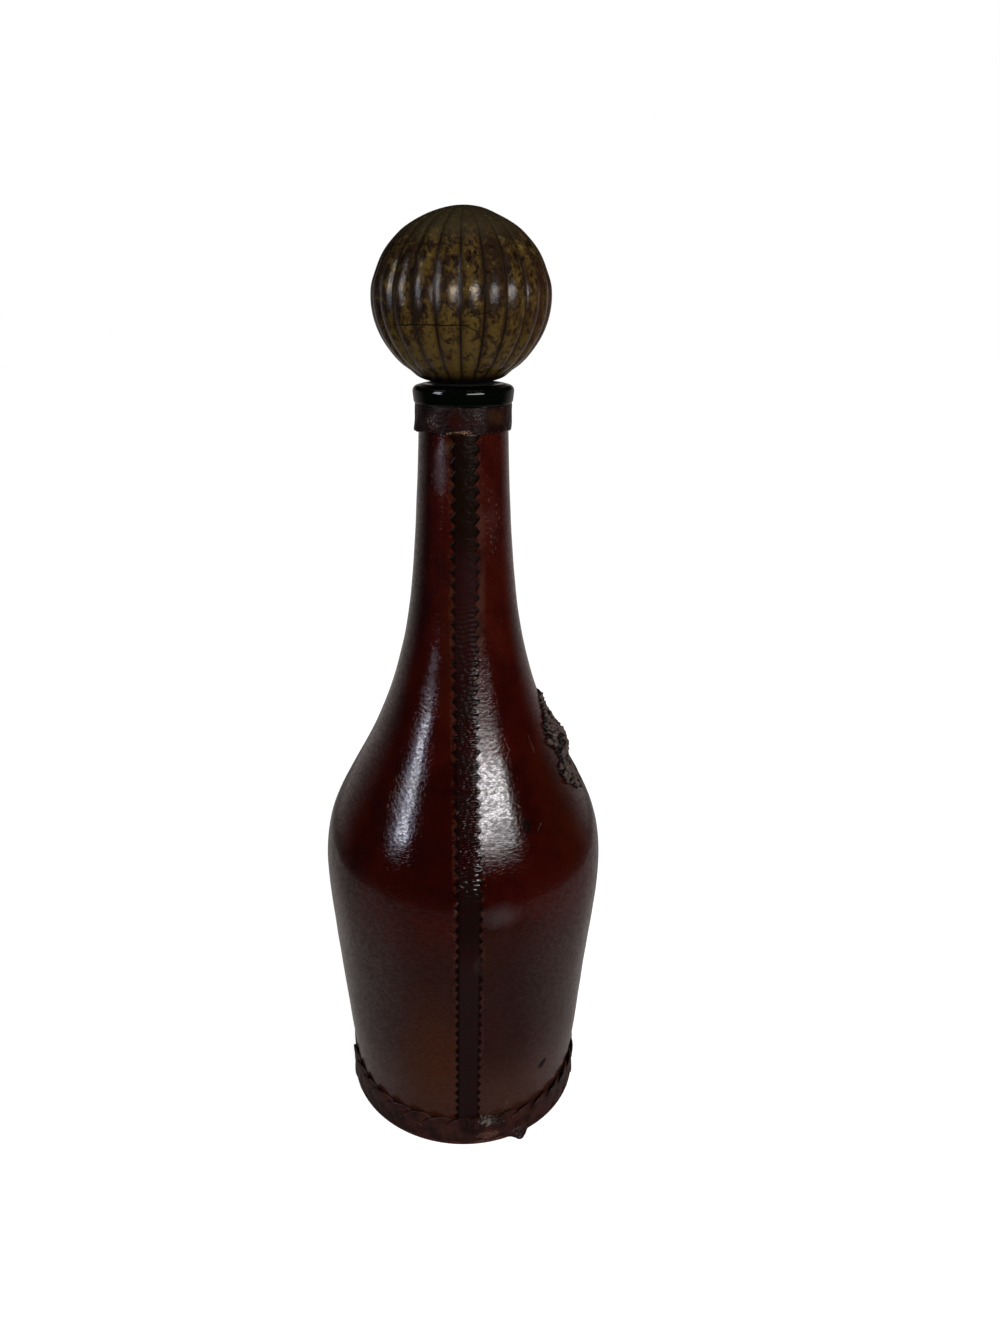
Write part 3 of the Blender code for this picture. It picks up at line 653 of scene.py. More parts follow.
def gilt_lacquer(sizes, colours, groove_angle):
    """Return the mottled gilt lacquer of the ball, dark in its grooves and finely cracked, with painted
    shade on the rib flanks and under the ball, and a painted sheen and glints above.
    """
    sheet = Finish("gilt_lacquer", colours.gilt, {"Specular IOR Level": 0.21})
    drawn = sheet.vector_math("MULTIPLY", sheet.place, (1.0, 1.0, 0.75))
    clouds = sheet.noise(150, 5, 0.66, drawn, 0.6)
    spots = sheet.noise(540, 5, 0.70, drawn, 0.6)
    flecks = sheet.noise(1000, 3, 0.6)
    upper = sheet.level(0.2790, 0.2850)
    lower = sheet.level(0.2790, 0.2700)
    rib_place = (sheet.angle - groove_angle) * (sizes.rib_count / math.tau) + sizes.rib_count
    from_crest = abs(sheet.math("FRACT", rib_place) * 2 - 1)
    rib_tint = sheet.add("ShaderNodeTexWhiteNoise", {"noise_dimensions": "1D"},
                         {"W": sheet.math("FLOOR", rib_place)})
    mottle = clouds * 0.40 + spots * 0.60 + upper * 0.040 - lower * 0.030 + (rib_tint - 0.5) * 0.05
    sheet.base(sheet.fade(mottle, 0.44, 0.56), colours.gilt, colours.tortoise)
    # Painted shade down each rib's flanks towards its grooves; rib_tint makes some ribs browner than others.
    brown = sheet.fade(from_crest, 0.40, 0.92) * (0.35 + rib_tint * 0.5)
    sheet.tint(brown, (0.022, 0.0110, 0.0050))
    specks = sheet.fade(spots, 0.54, 0.60) * (0.30 + upper * 0.55)
    sheet.tint(specks, (0.0080, 0.0036, 0.0018))
    # Painted sheen: the top of the ball paler and greyer, with its grooves lighter there.
    top_sheen = sheet.level(0.2990, 0.3060)
    sheet.tint(top_sheen * 0.7, (0.046, 0.034, 0.015))
    # Bright yellow flecks in the upper half: partly gilt showing through, partly painted glints.
    gilt_flecks_and_glints = sheet.fade(flecks, 0.56, 0.66) * sheet.fade(mottle, 0.52, 0.44) * upper
    sheet.tint(gilt_flecks_and_glints * 0.6, (0.190, 0.140, 0.045))
    warm = sheet.patch(62, 0.282, 0.018, 0.02, 0.0266, 0.9, 0.5)
    sheet.tint(warm * 0.45, (0.034, 0.012, 0.006))
    level = sheet.height + (sheet.noise(240, 3, 0.5) - 0.5) * 0.0012
    crack = sheet.fade(abs(level - 0.2793), 0.00032, 0.00010)
    crack = crack * sheet.fade(sheet.angle, math.radians(-54), math.radians(-47))
    crack = crack * sheet.fade(sheet.angle, math.radians(1.5), math.radians(-1.5))
    branches = (
        ((-1.0, 0.2793), (7.0, 0.2776)),
        ((7.0, 0.2776), (12.0, 0.2738)),
        ((2.0, 0.2816), (16.0, 0.2829)),
    )
    for start, end in branches:
        crack = sheet.most(crack, sheet.stroke(start, end, 0.00030, 0.0264) * 0.8)
    groove = sheet.fade(from_crest, 0.84, 0.985) * (1 - top_sheen * 0.6)
    sheet.tint(groove * 0.9, (0.0045, 0.0022, 0.0010))
    sheet.tint(crack * 0.9, (0.006, 0.004, 0.0015))
    # Painted shade under the ball where it sits on the lip, over darker lacquer.
    foot = sheet.level(ball_foot + 0.0046, ball_foot + 0.0012)
    sheet.tint(foot * 0.9, (0.0040, 0.0018, 0.0014))
    roughness = 0.07 + sheet.fade(mottle, 0.42, 0.60) * 0.16 + groove * 0.2 + foot * 0.2
    relief = spots * 0.7 + flecks * 0.3 - crack * 0.2
    metal = sheet.fade(mottle, 0.58, 0.44) * 0.15
    sheet.feed("Metallic", metal)
    return sheet.finish(roughness, relief, 0.45, 0.0004)


def dark_glass(colours):
    """Return thick bottle glass, so deep green that it looks black."""
    sheet = Finish("bottle_glass", colours.bottle_green, {"Specular IOR Level": 0.30})
    clouds = sheet.noise(120, 3, 0.5)
    sheet.base(clouds, colours.bottle_green, [value * 0.6 for value in colours.bottle_green])
    return sheet.finish(0.06 + clouds * 0.05, clouds, 0.06, 0.0004)


def pressed_cork(colours):
    """Return cork with its pores and darker streaks, and the ball's shadow painted on its top."""
    sheet = Finish("cork", colours.cork, {"Specular IOR Level": 0.2})
    long = sheet.vector_math("MULTIPLY", sheet.place, (1.0, 1.0, 0.35))
    grains = sheet.noise(520, 5, 0.65)
    pores = sheet.fade(sheet.noise(380, 3, 0.6, long), 0.60, 0.68)
    sheet.base(sheet.fade(grains, 0.3, 0.7), [value * 0.62 for value in colours.cork], colours.cork)
    sheet.tint(pores, (0.060, 0.026, 0.014))
    stained = sheet.level(cork_bottom + 0.012, cork_bottom)
    sheet.tint(stained * 0.55, (0.080, 0.022, 0.018))
    # Painted shadow of the ball, near black, on the top of the cork.
    top = sheet.level(cork_top - 0.0030, cork_top - 0.0012)
    sheet.tint(top, (0.0016, 0.0010, 0.0008))
    return sheet.finish(0.75 + grains * 0.15, grains - pores * 1.5, 0.5, 0.0005)


def beech_wood(colours):
    """Return the plain beech of the dowel, its grain along Z."""
    sheet = Finish("beech_wood", colours.beech, {"Specular IOR Level": 0.3})
    long = sheet.vector_math("MULTIPLY", sheet.place, (1.0, 1.0, 0.06))
    grain = sheet.noise(1500, 4, 0.6, long)
    sheet.base(grain, [value * 0.6 for value in colours.beech], colours.beech)
    return sheet.finish(0.55 + grain * 0.15, grain, 0.3, 0.0002)


# Meshes
SHARP_ANGLE = math.radians(38)


def face_outwards(mesh, merge=0.0):
    """Merge doubles if asked, and turn a closed mesh so that its faces point outwards."""
    cage = bmesh.new()
    cage.from_mesh(mesh)
    if merge:
        bmesh.ops.remove_doubles(cage, verts=cage.verts, dist=merge)
        bmesh.ops.dissolve_degenerate(cage, edges=cage.edges, dist=merge / 10)
    if cage.calc_volume(signed=True) < 0:
        bmesh.ops.reverse_faces(cage, faces=cage.faces)
    cage.to_mesh(mesh)
    cage.free()
    mesh.shade_smooth()
    mesh.set_sharp_from_angle(angle=SHARP_ANGLE)
    return mesh


def grid_faces(rows, columns, wrap=False):
    """Return the faces of a grid of points that is stored row by row."""
    faces = []
    for row in range(rows - 1):
        for column in range(columns if wrap else columns - 1):
            here = row * columns + column
            beside = row * columns + (column + 1) % columns
            faces.append((here, beside, beside + columns, here + columns))
    return faces


def sheet_solid(name, outer, inner):
    """Return a closed mesh between two grids of points, each (rows, columns, 3)."""
    rows, columns = outer.shape[:2]
    count = rows * columns
    faces = grid_faces(rows, columns)
    faces += [tuple(count + i for i in reversed(face)) for face in faces[:]]
    border = list(range(columns))
    border += [row * columns + columns - 1 for row in range(1, rows)]
    border += [(rows - 1) * columns + column for column in range(columns - 2, -1, -1)]
    border += [row * columns for row in range(rows - 2, 0, -1)]
    for here, there in zip(border, border[1:] + border[:1]):
        faces.append((there, here, here + count, there + count))
    mesh = bpy.data.meshes.new(name)
    points = np.concatenate([outer.reshape(-1, 3), inner.reshape(-1, 3)])
    mesh.from_pydata(points.tolist(), [], faces)
    return face_outwards(mesh)


def turned_solid(name, points, steps):
    """Return the closed mesh of a line of (radius, height) points turned about Z."""
    line = np.array(points)
    turns = np.linspace(0, math.tau, steps, endpoint=False)
    grid = around(line[:, :1], turns, line[:, 1:])
    mesh = bpy.data.meshes.new(name)
    mesh.from_pydata(grid.reshape(-1, 3).tolist(), [], grid_faces(len(line), steps, wrap=True))
    return face_outwards(mesh, merge=0.000001)


def arc(centre, radius, start, end, steps=8):
    """Return points along an arc in the turning plane. Angles are from +radial, towards up."""
    turns = np.linspace(start, end, steps + 1)
    return [(centre[0] + radius * math.cos(turn), centre[1] + radius * math.sin(turn)) for turn in turns]


def edge_line(name, points):
    """Return a mesh of one open chain of edges, as a guide for a geometry tree."""
    mesh = bpy.data.meshes.new(name)
    mesh.from_pydata(points, [(i, i + 1) for i in range(len(points) - 1)], [])
    return mesh


def new_object(name, data):
    """Return an object of that data, at the origin of the scene."""
    item = bpy.data.objects.new(name, data)
    bpy.context.scene.collection.objects.link(item)
    return item


def add_piece(name, mesh, body, material=None, replaces=()):
    """Add a finished mesh as a piece that rides on its body and stands for its nodes."""
    mesh.name = name
    if material:
        mesh.materials.clear()
        mesh.materials.append(material)
    piece = new_object(name, mesh)
    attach(piece, body)
    if replaces:
        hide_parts(*replaces)
    return piece


# Geometry trees
SOCKET_TYPES = {int: "NodeSocketInt", float: "NodeSocketFloat"}


class Maker(Sheet):
    """A geometry tree with named inputs, which makes one kind of piece."""

    def __init__(self, name, sizes):
        tree = bpy.data.node_groups.new(name, "GeometryNodeTree")
        tree.interface.new_socket("Guide", in_out="INPUT", socket_type="NodeSocketGeometry")
        self.identifiers = {}
        for label, value in sizes.items():
            kind = SOCKET_TYPES.get(type(value), "NodeSocketMaterial")
            socket = tree.interface.new_socket(label, in_out="INPUT", socket_type=kind)
            self.identifiers[label] = socket.identifier
        tree.interface.new_socket("Piece", in_out="OUTPUT", socket_type="NodeSocketGeometry")
        super().__init__(tree)
        self.sizes = sizes
        self.start = tree.nodes.new("NodeGroupInput")

    def __getitem__(self, label):
        """Return one of the tree's inputs."""
        return Wire(self, self.start.outputs[label])

    def grid(self, along, across):
        """Return a flat grid, and its shares from 0 to 1 along X and along Y."""
        mesh = self.add("GeometryNodeMeshGrid", None,
                        {"Size X": 1.0, "Size Y": 1.0, "Vertices X": along, "Vertices Y": across})
        x, y, _ = self.split(self.add("GeometryNodeInputPosition"))
        return mesh, x + 0.5, y + 0.5

    def follow(self, by, value):
        """Return the place on the guide at a Length or a Factor along it."""
        line = self.add("GeometryNodeMeshToCurve", None, {"Mesh": self["Guide"]})
        inputs = {"Curves": line, by: value}
        return self.add("GeometryNodeSampleCurve", {"mode": by.upper()}, inputs, "Position")

    def place(self, mesh, position):
        """Return the mesh with its points moved to a position."""
        return self.add("GeometryNodeSetPosition", None, {"Geometry": mesh, "Position": position})

    def close(self, mesh, merge=None):
        """End the tree: merge doubles if asked, realise instances and set the material."""
        if merge:
            mesh = self.add("GeometryNodeMergeByDistance", None, {"Geometry": mesh, "Distance": merge})
        mesh = self.add("GeometryNodeRealizeInstances", None, {"Geometry": mesh})
        mesh = self.add("GeometryNodeSetMaterial", None, {"Geometry": mesh, "Material": self["Material"]})
        end = self.tree.nodes.new("NodeGroupOutput")
        self.tree.links.new(mesh.socket, end.inputs["Piece"])

    def make(self, guide, changes=None, wall=None):
        """Run the tree on a guide mesh and return the result as a plain mesh."""
        item = new_object(guide.name, guide)
        modifier = item.modifiers.new(self.tree.name, "NODES")
        modifier.node_group = self.tree
        for label, value in {**self.sizes, **(changes or {})}.items():
            modifier[self.identifiers[label]] = value
        if wall:
            solidify = item.modifiers.new("Wall", "SOLIDIFY")
            solidify.thickness = wall
            solidify.offset = -1
        shown = item.evaluated_get(bpy.context.evaluated_depsgraph_get())
        mesh = bpy.data.meshes.new_from_object(shown)
        item.modifiers.clear()
        bpy.data.objects.remove(item)
        return face_outwards(mesh)


def pinked_strip_tree(sizes, material):
    """Build the tree for a pinked and tooled strip that follows a seam."""
    maker = Maker("pinked_strip", {
        "Length": 0.2, "Width": sizes.strip_width, "Thickness": sizes.strip_thickness,
        "Tooth Pitch": sizes.tooth_pitch, "Tooth Depth": sizes.tooth_depth,
        "Line Pitch": sizes.rib_pitch, "Line Height": sizes.rib_height,
        "Tooling Start": 0.046, "Tooling End": 0.150, "Facing": 0.0, "Rows": 1000, "Columns": 25,
        "Material": material,
    })
    mesh, share_along, share_across = maker.grid(maker["Rows"], maker["Columns"])
    along = share_along * maker["Length"]
    side = share_across * 2 - 1
    spot = maker.join(along, side * 0.004, maker["Facing"])
    half_pitch = maker["Tooth Pitch"] / 2
    tooth = maker.math("PINGPONG", along, half_pitch) / half_pitch
    wobble = (maker.noise(180, 2, 0.5, spot) - 0.5) * 0.0007
    half = maker["Width"] / 2 - maker["Tooth Depth"] * tooth + wobble
    across = side * half
    out = abs(side)
    warp = maker.noise(420, 2, 0.5, spot) * 0.9 + maker.fade(side, -0.1, 0.3) * 0.35
    lines = maker.math("SINE", (along / maker["Line Pitch"] + warp) * math.tau)
    tooled = maker.fade(along, maker["Tooling Start"], maker["Tooling Start"] + 0.02)
    tooled = tooled * maker.fade(along, maker["Tooling End"], maker["Tooling End"] - 0.012)
    tooled = tooled * maker.fade(out, 0.98, 0.70)
    dents = (maker.noise(260, 3, 0.55, spot) - 0.5) * 0.00022
    dents = dents + (maker.noise(760, 2, 0.5, spot) - 0.5) * tooled * 0.00045
    rounded = maker.fade(out, 0.88, 1.0) * maker["Thickness"] * 0.2
    lift = maker["Thickness"] + dents + lines * tooled * maker["Line Height"] - rounded
    sample = maker.follow("Length", along)
    normal = maker.vector_math("CROSS_PRODUCT", sample.output("Tangent"), (1.0, 0.0, 0.0))
    lifted = maker.add("ShaderNodeVectorMath", {"operation": "SCALE"}, {0: normal, "Scale": lift})
    inputs = {"Vector": maker.vector_math("ADD", sample, lifted)}
    _, depth, _ = maker.split(sample)
    inputs["Angle"] = maker["Facing"] - across / depth
    turned = maker.add("ShaderNodeVectorRotate", {"rotation_type": "Z_AXIS"}, inputs)
    maker.close(maker.place(mesh, turned))
    return maker


def ribbed_ball_tree(sizes, material, groove_angle):
    """Build the tree for a ball whose ribs follow a turned outline."""
    maker = Maker("ribbed_ball", {
        "Ribs": sizes.rib_count, "Rib Depth": sizes.rib_depth, "Radius": sizes.ball_radius,
        "Groove Angle": groove_angle, "Lean": 0.0006, "Steps In Rib": 12, "Rows": 190, "Material": material,
    })
    steps = maker["Ribs"] * maker["Steps In Rib"] + 1
    mesh, share_round, share_down = maker.grid(steps, maker["Rows"])
    sample = maker.follow("Factor", share_down)
    radius, _, height = maker.split(sample)
    rib = maker.math("FRACT", share_round * maker["Ribs"] + 0.0001)
    across = rib * 2 - 1
    radius = radius - radius / maker["Radius"] * maker["Rib Depth"] * across * across
    turn = share_round * math.tau + maker["Groove Angle"]
    turn = turn + maker.math("SINE", turn * 2 + 0.17) * 0.026
    lean = maker.fade(radius, 0.0045, 0.0110) * maker["Lean"]
    x = radius * maker.math("SINE", turn) - lean
    spot = maker.join(x, radius * maker.math("COSINE", turn) * -1, height)
    maker.close(maker.place(mesh, spot), 0.000002)
    return maker


def plait_tree(sizes, material):
    """Build the tree for flat laces that plait round the foot."""
    maker = Maker("plait", {
        "Laces": sizes.lace_count, "Turns": sizes.plait_turns, "Radius": sizes.plait_radius,
        "Middle": 0.0064, "Swing": 0.0030, "Weave": 0.00040,
        "Lace Width": sizes.lace_width, "Lace Thickness": sizes.lace_thickness,
        "Steps Round": 840, "Steps Across": 17, "Material": material,
    })
    lace, _, _ = maker.grid(maker["Steps Round"], maker["Steps Across"])
    starts = maker.add("GeometryNodeMeshLine", None, {"Count": maker["Laces"], "Offset": (0.0, 0.0, 0.0)})
    laces = maker.add("GeometryNodeInstanceOnPoints", None, {"Points": starts, "Instance": lace})
    number = maker.add("GeometryNodeInputIndex")
    laces = maker.add("GeometryNodeStoreNamedAttribute", {"domain": "INSTANCE", "data_type": "FLOAT"},
                      {"Geometry": laces, "Name": "lace", "Value": number})
    laces = maker.add("GeometryNodeRealizeInstances", None, {"Geometry": laces})
    number = maker.add("GeometryNodeInputNamedAttribute", {"data_type": "FLOAT"}, {"Name": "lace"})
    x, y, _ = maker.split(maker.add("GeometryNodeInputPosition"))
    turn = (x + 0.5) * math.tau
    section = (y + 0.5) * math.tau
    phase = turn * maker["Turns"] + number * (math.tau / sizes.lace_count)
    spot = maker.join(maker.math("COSINE", turn) * 0.042, maker.math("SINE", turn) * 0.042, number * 0.1)
    drift = (maker.noise(95, 2, 0.5, spot) - 0.5) * 0.0016
    press = (maker.noise(150, 2, 0.5, maker.vector_math("ADD", spot, (0.3, 0.0, 0.0))) - 0.5) * 0.00035
    wide = maker["Lace Width"] / 2 * (0.86 + maker.noise(120, 2, 0.5, spot) * 0.28)
    sharp = phase + maker.math("SINE", phase * 2) * 0.16
    side = maker.math("COSINE", section)
    flat = maker.math("SINE", section)
    across = maker.math("SIGN", side) * abs(side) ** 0.75 * wide
    thick = maker.math("SIGN", flat) * abs(flat) ** 0.55 * maker["Lace Thickness"] / 2
    tilt = across * maker.math("COSINE", phase) * 0.10
    up = maker["Middle"] + maker.math("SINE", sharp) * maker["Swing"] + across + drift
    up = maker.most(up, disc_top)
    up = maker.math("MINIMUM", up, braid_top + 0.0006)
    weave = maker.math("SINE", sharp * 2) * maker["Weave"]
    radius = maker["Radius"] + weave + press + thick + tilt
    spot = maker.join(radius * maker.math("SINE", turn), radius * maker.math("COSINE", turn) * -1, up)
    maker.close(maker.place(laces, spot), 0.000002)
    return maker


# Pieces in mesh code
def bottle_profile(sizes):
    """Return the outline of the hollow bottle, from its inner floor over the lip to the punt."""
    outer_lift = -(sizes.leather_thickness + CLEARANCE)
    inner_lift = outer_lift - sizes.glass_wall
    heel, punt_radius, punt_depth, lip_height = 0.0045, 0.026, 0.006, 0.0047
    lip_round, mouth_round, lip_lean, crown = 0.0018, 0.0014, 0.00025, 0.0004
    lip_bottom = lip_top - lip_height
    top = lip_top + 0.0003
    floor = body_bottom + sizes.glass_base
    inner_heel = heel - sizes.glass_wall / 2
    bore = NECK_RADIUS - sizes.leather_thickness - CLEARANCE - sizes.glass_wall
    punt = np.linspace(0, 1, 13)
    points = [(punt_radius * share, floor + punt_depth * math.cos(share * QUARTER))
              for share in punt[:-1]]
    heights = np.linspace(floor + inner_heel, lip_bottom, 90)
    inner = [float(skin_point(height, inner_lift)[0]) for height in heights]
    points += arc((inner[0] - inner_heel, floor + inner_heel), inner_heel, -QUARTER, 0)[:-1]
    points += [(min(radius, inner[0]), height) for radius, height in zip(inner, heights)]
    points += [(bore, lip_bottom + 0.0005)]
    points += arc((bore + mouth_round, top - mouth_round), mouth_round, 2 * QUARTER, QUARTER)
    edge = sizes.lip_radius - lip_round
    start = bore + mouth_round
    points += [(start + (edge - start) * share, top + crown * math.sin(share * math.pi))
               for share in np.linspace(0, 1, 12)[1:-1]]
    points += arc((edge, top - lip_round), lip_round, QUARTER, 0)
    points += arc((edge - lip_lean, lip_bottom + lip_round / 2), lip_round, 0, -QUARTER)
    heights = np.linspace(lip_bottom, body_bottom + heel, 90)
    points += [(float(skin_point(height, outer_lift)[0]), height) for height in heights]
    points += arc((points[-1][0] - heel, body_bottom + heel), heel, 0, -QUARTER)[1:]
    points += [(punt_radius * share, body_bottom + punt_depth * math.cos(share * QUARTER))
               for share in punt[::-1]]
    return points


def leather_panel_mesh(name, side, sizes):
    """Return one half of the wrapped leather, gently uneven. Side is 1 for +X."""
    margin = sizes.seam_gap / NECK_RADIUS / 2
    heights = np.linspace(body_bottom, neck_top, 250)[:, None]
    angles = side * np.linspace(margin, math.pi - margin, 120)[None, :]
    even = on_leather(angles, heights)
    held = ease(heights, body_bottom, body_bottom + 0.012) * ease(heights, neck_top, neck_top - 0.012)
    lift = gentle_waves(even, 0.034, 3) * 0.00009 + gentle_waves(even, 0.011, 5) * 0.000025
    lift = lift * held
    outer = on_leather(angles, heights, lift)
    inner = on_leather(angles, heights, -sizes.leather_thickness + 0 * lift)
    outer[0, :, 2] = inner[0, :, 2] = body_bottom
    outer[-1, :, 2] = inner[-1, :, 2] = neck_top
    return sheet_solid(name, outer, inner)


def collar_mesh(sizes):
    """Return the band round the neck: lapped ends, a ragged lower edge and one curled place."""
    inner = float(leather_radius(collar_bottom)) + 0.0001
    pared = (sizes.collar_thickness - CLEARANCE) / 2
    lap = sizes.collar_lap / inner
    whole = math.tau + lap
    turn = np.linspace(0, whole, 460)[None, :]
    share = np.linspace(0, 1, 22)[:, None]
    angle = math.radians(5.4) - lap + turn
    under = np.clip((2 * lap - turn) / lap, 0, 1)
    over = np.clip((turn - math.tau + lap) / lap, 0, 1)
    low = inner + over * (pared + 0.0002)
    high = inner + sizes.collar_thickness - under * (sizes.collar_thickness - pared)
    round_neck = (np.sin(angle) * 0.0145, np.cos(angle) * 0.0145)
    spots = spread(*round_neck, over * 0.01)
    ragged = gentle_waves(spots, 0.0045, 11) * 0.00022 + gentle_waves(spots, 0.0016, 12) * 0.00012
    torn = ease(np.abs(np.degrees(angle) % 360 - 2), 7, 2) * 0.0007
    bottom = collar_bottom + 0.0002 + ragged + torn
    top = neck_top - 0.0001 + gentle_waves(spots, 0.006, 13) * 0.00012
    height = bottom + (top - bottom) * share
    curl = ease(np.abs((np.degrees(angle) + 180) % 360 - 180 + 74), 16, 3) * (1 - share) ** 2 * 0.0007
    crown = (1 - (2 * share - 1) ** 6) * 0.00012 - 0.00012
    dents = gentle_waves(spread(*round_neck, height), 0.005, 14) * 0.00006
    fall = (neck_top - height) * 0.002
    outer = high + crown + dents + curl + fall
    inside = low + 0 * share + curl * 0.8
    return sheet_solid("neck_collar", around(outer, angle, height), around(inside, angle, height))


def lobed_leaf(across, up, centre, turn, size):
    """Return the height share of a five-lobed leaf, and its raised veins, both from 0 to 1."""
    x = across - centre[0]
    y = up - centre[1]
    reach = np.hypot(x, y) / size
    angle = (np.arctan2(x, y) - turn + math.pi) % math.tau - math.pi
    edge = np.full(np.broadcast(x, y).shape, 0.30)
    veins = np.zeros_like(edge)
    lobes = (
        # degrees, length, half width in degrees
        (0, 1.0, 26), (55, 0.86, 25), (-55, 0.86, 25), (112, 0.62, 25), (-112, 0.62, 25),
    )
    for lobe, long, wide in lobes:
        off = np.abs((np.degrees(angle) - lobe + 180) % 360 - 180) / wide
        edge = np.maximum(edge, long * np.clip(1 - off ** 1.5, 0, 1) ** 0.55)
        line = np.abs(np.sin(np.radians(off * wide))) * reach * size
        ahead = (off * wide < 70) & (reach < long)
        veins = np.maximum(veins, np.where(ahead, ease(line, 0.00075, 0.0001), 0))
    edge = edge * (1 + 0.06 * np.sin(np.degrees(angle) * 0.42))
    share = np.clip(1 - reach / np.maximum(edge, 0.05), 0, 1)
    return ease(share, 0, 0.22), veins * (share > 0.02)


def ornament_mesh(sizes):
    """Return the moulded vine: leaves over a bunch of grapes, bedded in the shoulder."""
    across = np.arange(-0.0180, 0.01801, 0.00023)[None, :]
    up = np.arange(-0.0212, 0.01981, 0.00023)[:, None]
    flat = spread(across, up)
    ground = -0.0004
    relief = np.full(flat.shape[:2], ground)
    across = across + 0.0045 * ease(-up, 0.001, 0.016)
    levels = (-0.0205, -0.0190, -0.0166, -0.0130, -0.0105, -0.0075, -0.0045, -0.0020,
              0.0010, 0.0040, 0.0070, 0.0090, 0.0110, 0.0150, 0.0196)
    widths = (0.0050, 0.0085, 0.0112, 0.0150, 0.0165, 0.0160, 0.0128, 0.0120,
              0.0150, 0.0160, 0.0142, 0.0110, 0.0076, 0.0038, 0.0018)
    half_width = np.interp(up, levels, widths)
    leaves = (
        # middle, turn, size, height
        ((-0.0060, -0.0110), -160, 0.0085, 0.0010), ((0.0060, -0.0110), 160, 0.0085, 0.0010),
        ((-0.0062, 0.0050), -70, 0.0080, 0.0011), ((0.0062, 0.0050), 70, 0.0080, 0.0011),
        ((0.0, 0.0085), 0, 0.0105, 0.0010),
    )
    for centre, turn, size, height in leaves:
        body, veins = lobed_leaf(across, up, centre, math.radians(turn), size)
        cup = 0.75 + 0.25 * np.clip(np.hypot(across - centre[0], up - centre[1]) / size, 0, 1)
        relief = np.maximum(relief, ground + body * (height * cup - ground) + body * veins * 0.0004)
    draw = np.random.default_rng(7)
    for row in range(15):
        for column in range(-6, 7):
            middle = (column + 0.5 * (row % 2)) * 0.0031 + draw.uniform(-0.0005, 0.0005)
            level = 0.0150 - row * 0.0025 + draw.uniform(-0.0005, 0.0005)
            size = sizes.grape_radius * draw.uniform(0.75, 1.05)
            bed = draw.uniform(0.0, 0.0005)
            outside = abs(middle) > np.interp(level, levels, widths) - 0.0006
            if outside or math.hypot(middle, level - 0.0085) < 0.0050:
                continue
            span = (across - middle) ** 2 + (up - level) ** 2
            dome = np.sqrt(np.clip(size ** 2 - span, 0, None)) * 0.95 - bed
            dimple = ease(np.sqrt(span), 0.0006, 0.0002) * 0.0002
            relief = np.maximum(relief, np.where(span < size ** 2, dome - dimple, ground))
    pits = np.zeros_like(relief)
    for _ in range(200):
        side = draw.uniform(-0.016, 0.016)
        level = draw.uniform(-0.019, 0.013)
        size = draw.uniform(0.0006, 0.0010)
        pits = np.maximum(pits, ease(np.hypot(across - side, up - level), size, size * 0.4))
    grain = gentle_waves(flat, 0.0022, 21) * 0.00020
    relief = np.where(relief > 0, np.maximum(relief + grain - pits * 0.0014, 0.0001), relief)
    held = ease(half_width + gentle_waves(flat, 0.004, 24) * 0.0003 - np.abs(across), 0, 0.0008)
    held = held * ease(up, 0.0196, 0.0150) * ease(up, -0.0210, -0.0200)
    share = np.clip(relief * held / 0.0018, 0, 1)
    swell = 0.0020 * ease(np.hypot(flat[..., 0] + 0.0040, up - 0.0003), 0.0112, 0.0022)
    relief = ground + (relief - ground + swell) * held
    tilt, _ = leather_normal(sizes.ornament_height)
    height = sizes.ornament_height + up * tilt
    far_edge = np.interp(up, (-0.0205, -0.0060, 0.0), (-0.0085, -0.0055, 0.0200))
    relief = np.where(flat[..., 0] > far_edge, np.minimum(relief, 0.0002), relief)
    angle = QUARTER + flat[..., 0] / leather_radius(height)
    outer = on_leather(angle, height, relief)
    inner = on_leather(angle, height, ground - 0.0003 + 0 * relief)
    mesh = sheet_solid("vine_ornament", outer, inner)
    values = np.concatenate([share.ravel(), np.zeros(share.size)]).astype(np.float32)
    mesh.attributes.new("relief", "FLOAT", "POINT").data.foreach_set("value", values)
    return mesh


def on_plait(sizes, angle, height, lift):
    """Return points that stand off the plait's outside by lift."""
    return around(sizes.plait_radius + sizes.lace_thickness + lift, angle, height)


def lace_end_mesh(sizes):
    """Return the loose end of a lace that stands away from the plait, cut at a slant."""
    along = np.linspace(0, 1, 34)[:, None]
    across = np.linspace(-1, 1, 17)[None, :]
    frayed = gentle_waves(spread(along * 0.012, across * 0.003), 0.002, 31) * 0.00015
    angle = np.radians(34 - 16.5 * along + 2.0 * (1 - across) * along)
    hang = ease(along, 0.05, 0.72) * (1 - 0.8 * ease(along, 0.72, 1.0)) * (1 - across) / 2
    height = 0.0056 - 0.0026 * along - (1 - across) * 0.0010 - hang * 0.0016 + frayed
    height = np.maximum(height, 0.0003)
    lift = hang * 0.0024 - 0.0001 - 0.0004 * ease(along, 0.2, 0.0)
    return sheet_solid("lace_loose_end", on_plait(sizes, angle, height, lift),
                       on_plait(sizes, angle, height + 0.0001, lift - 0.0006))


def lace_wrap_mesh(sizes):
    """Return the short lace that binds the plait's join below the front strip."""
    along = np.linspace(0, 1, 30)[:, None]
    across = np.linspace(-1, 1, 21)[None, :]
    height = 0.0130 - 0.0078 * along + 0.0003 * np.sin(across * 5)
    angle = np.radians(2.6 + 3.6 * across * (1 - 0.22 * along))
    fold = ease(np.abs(across + 0.15), 0.16, 0.03) * 0.00035
    lift = 0.0003 * ease(along, 0.0, 0.3) - 0.0005 * ease(along, 0.8, 1.0) - fold - 0.0003 * across ** 4
    return sheet_solid("lace_join_wrap", on_plait(sizes, angle, height, lift),
                       on_plait(sizes, angle, height, lift - 0.0007))


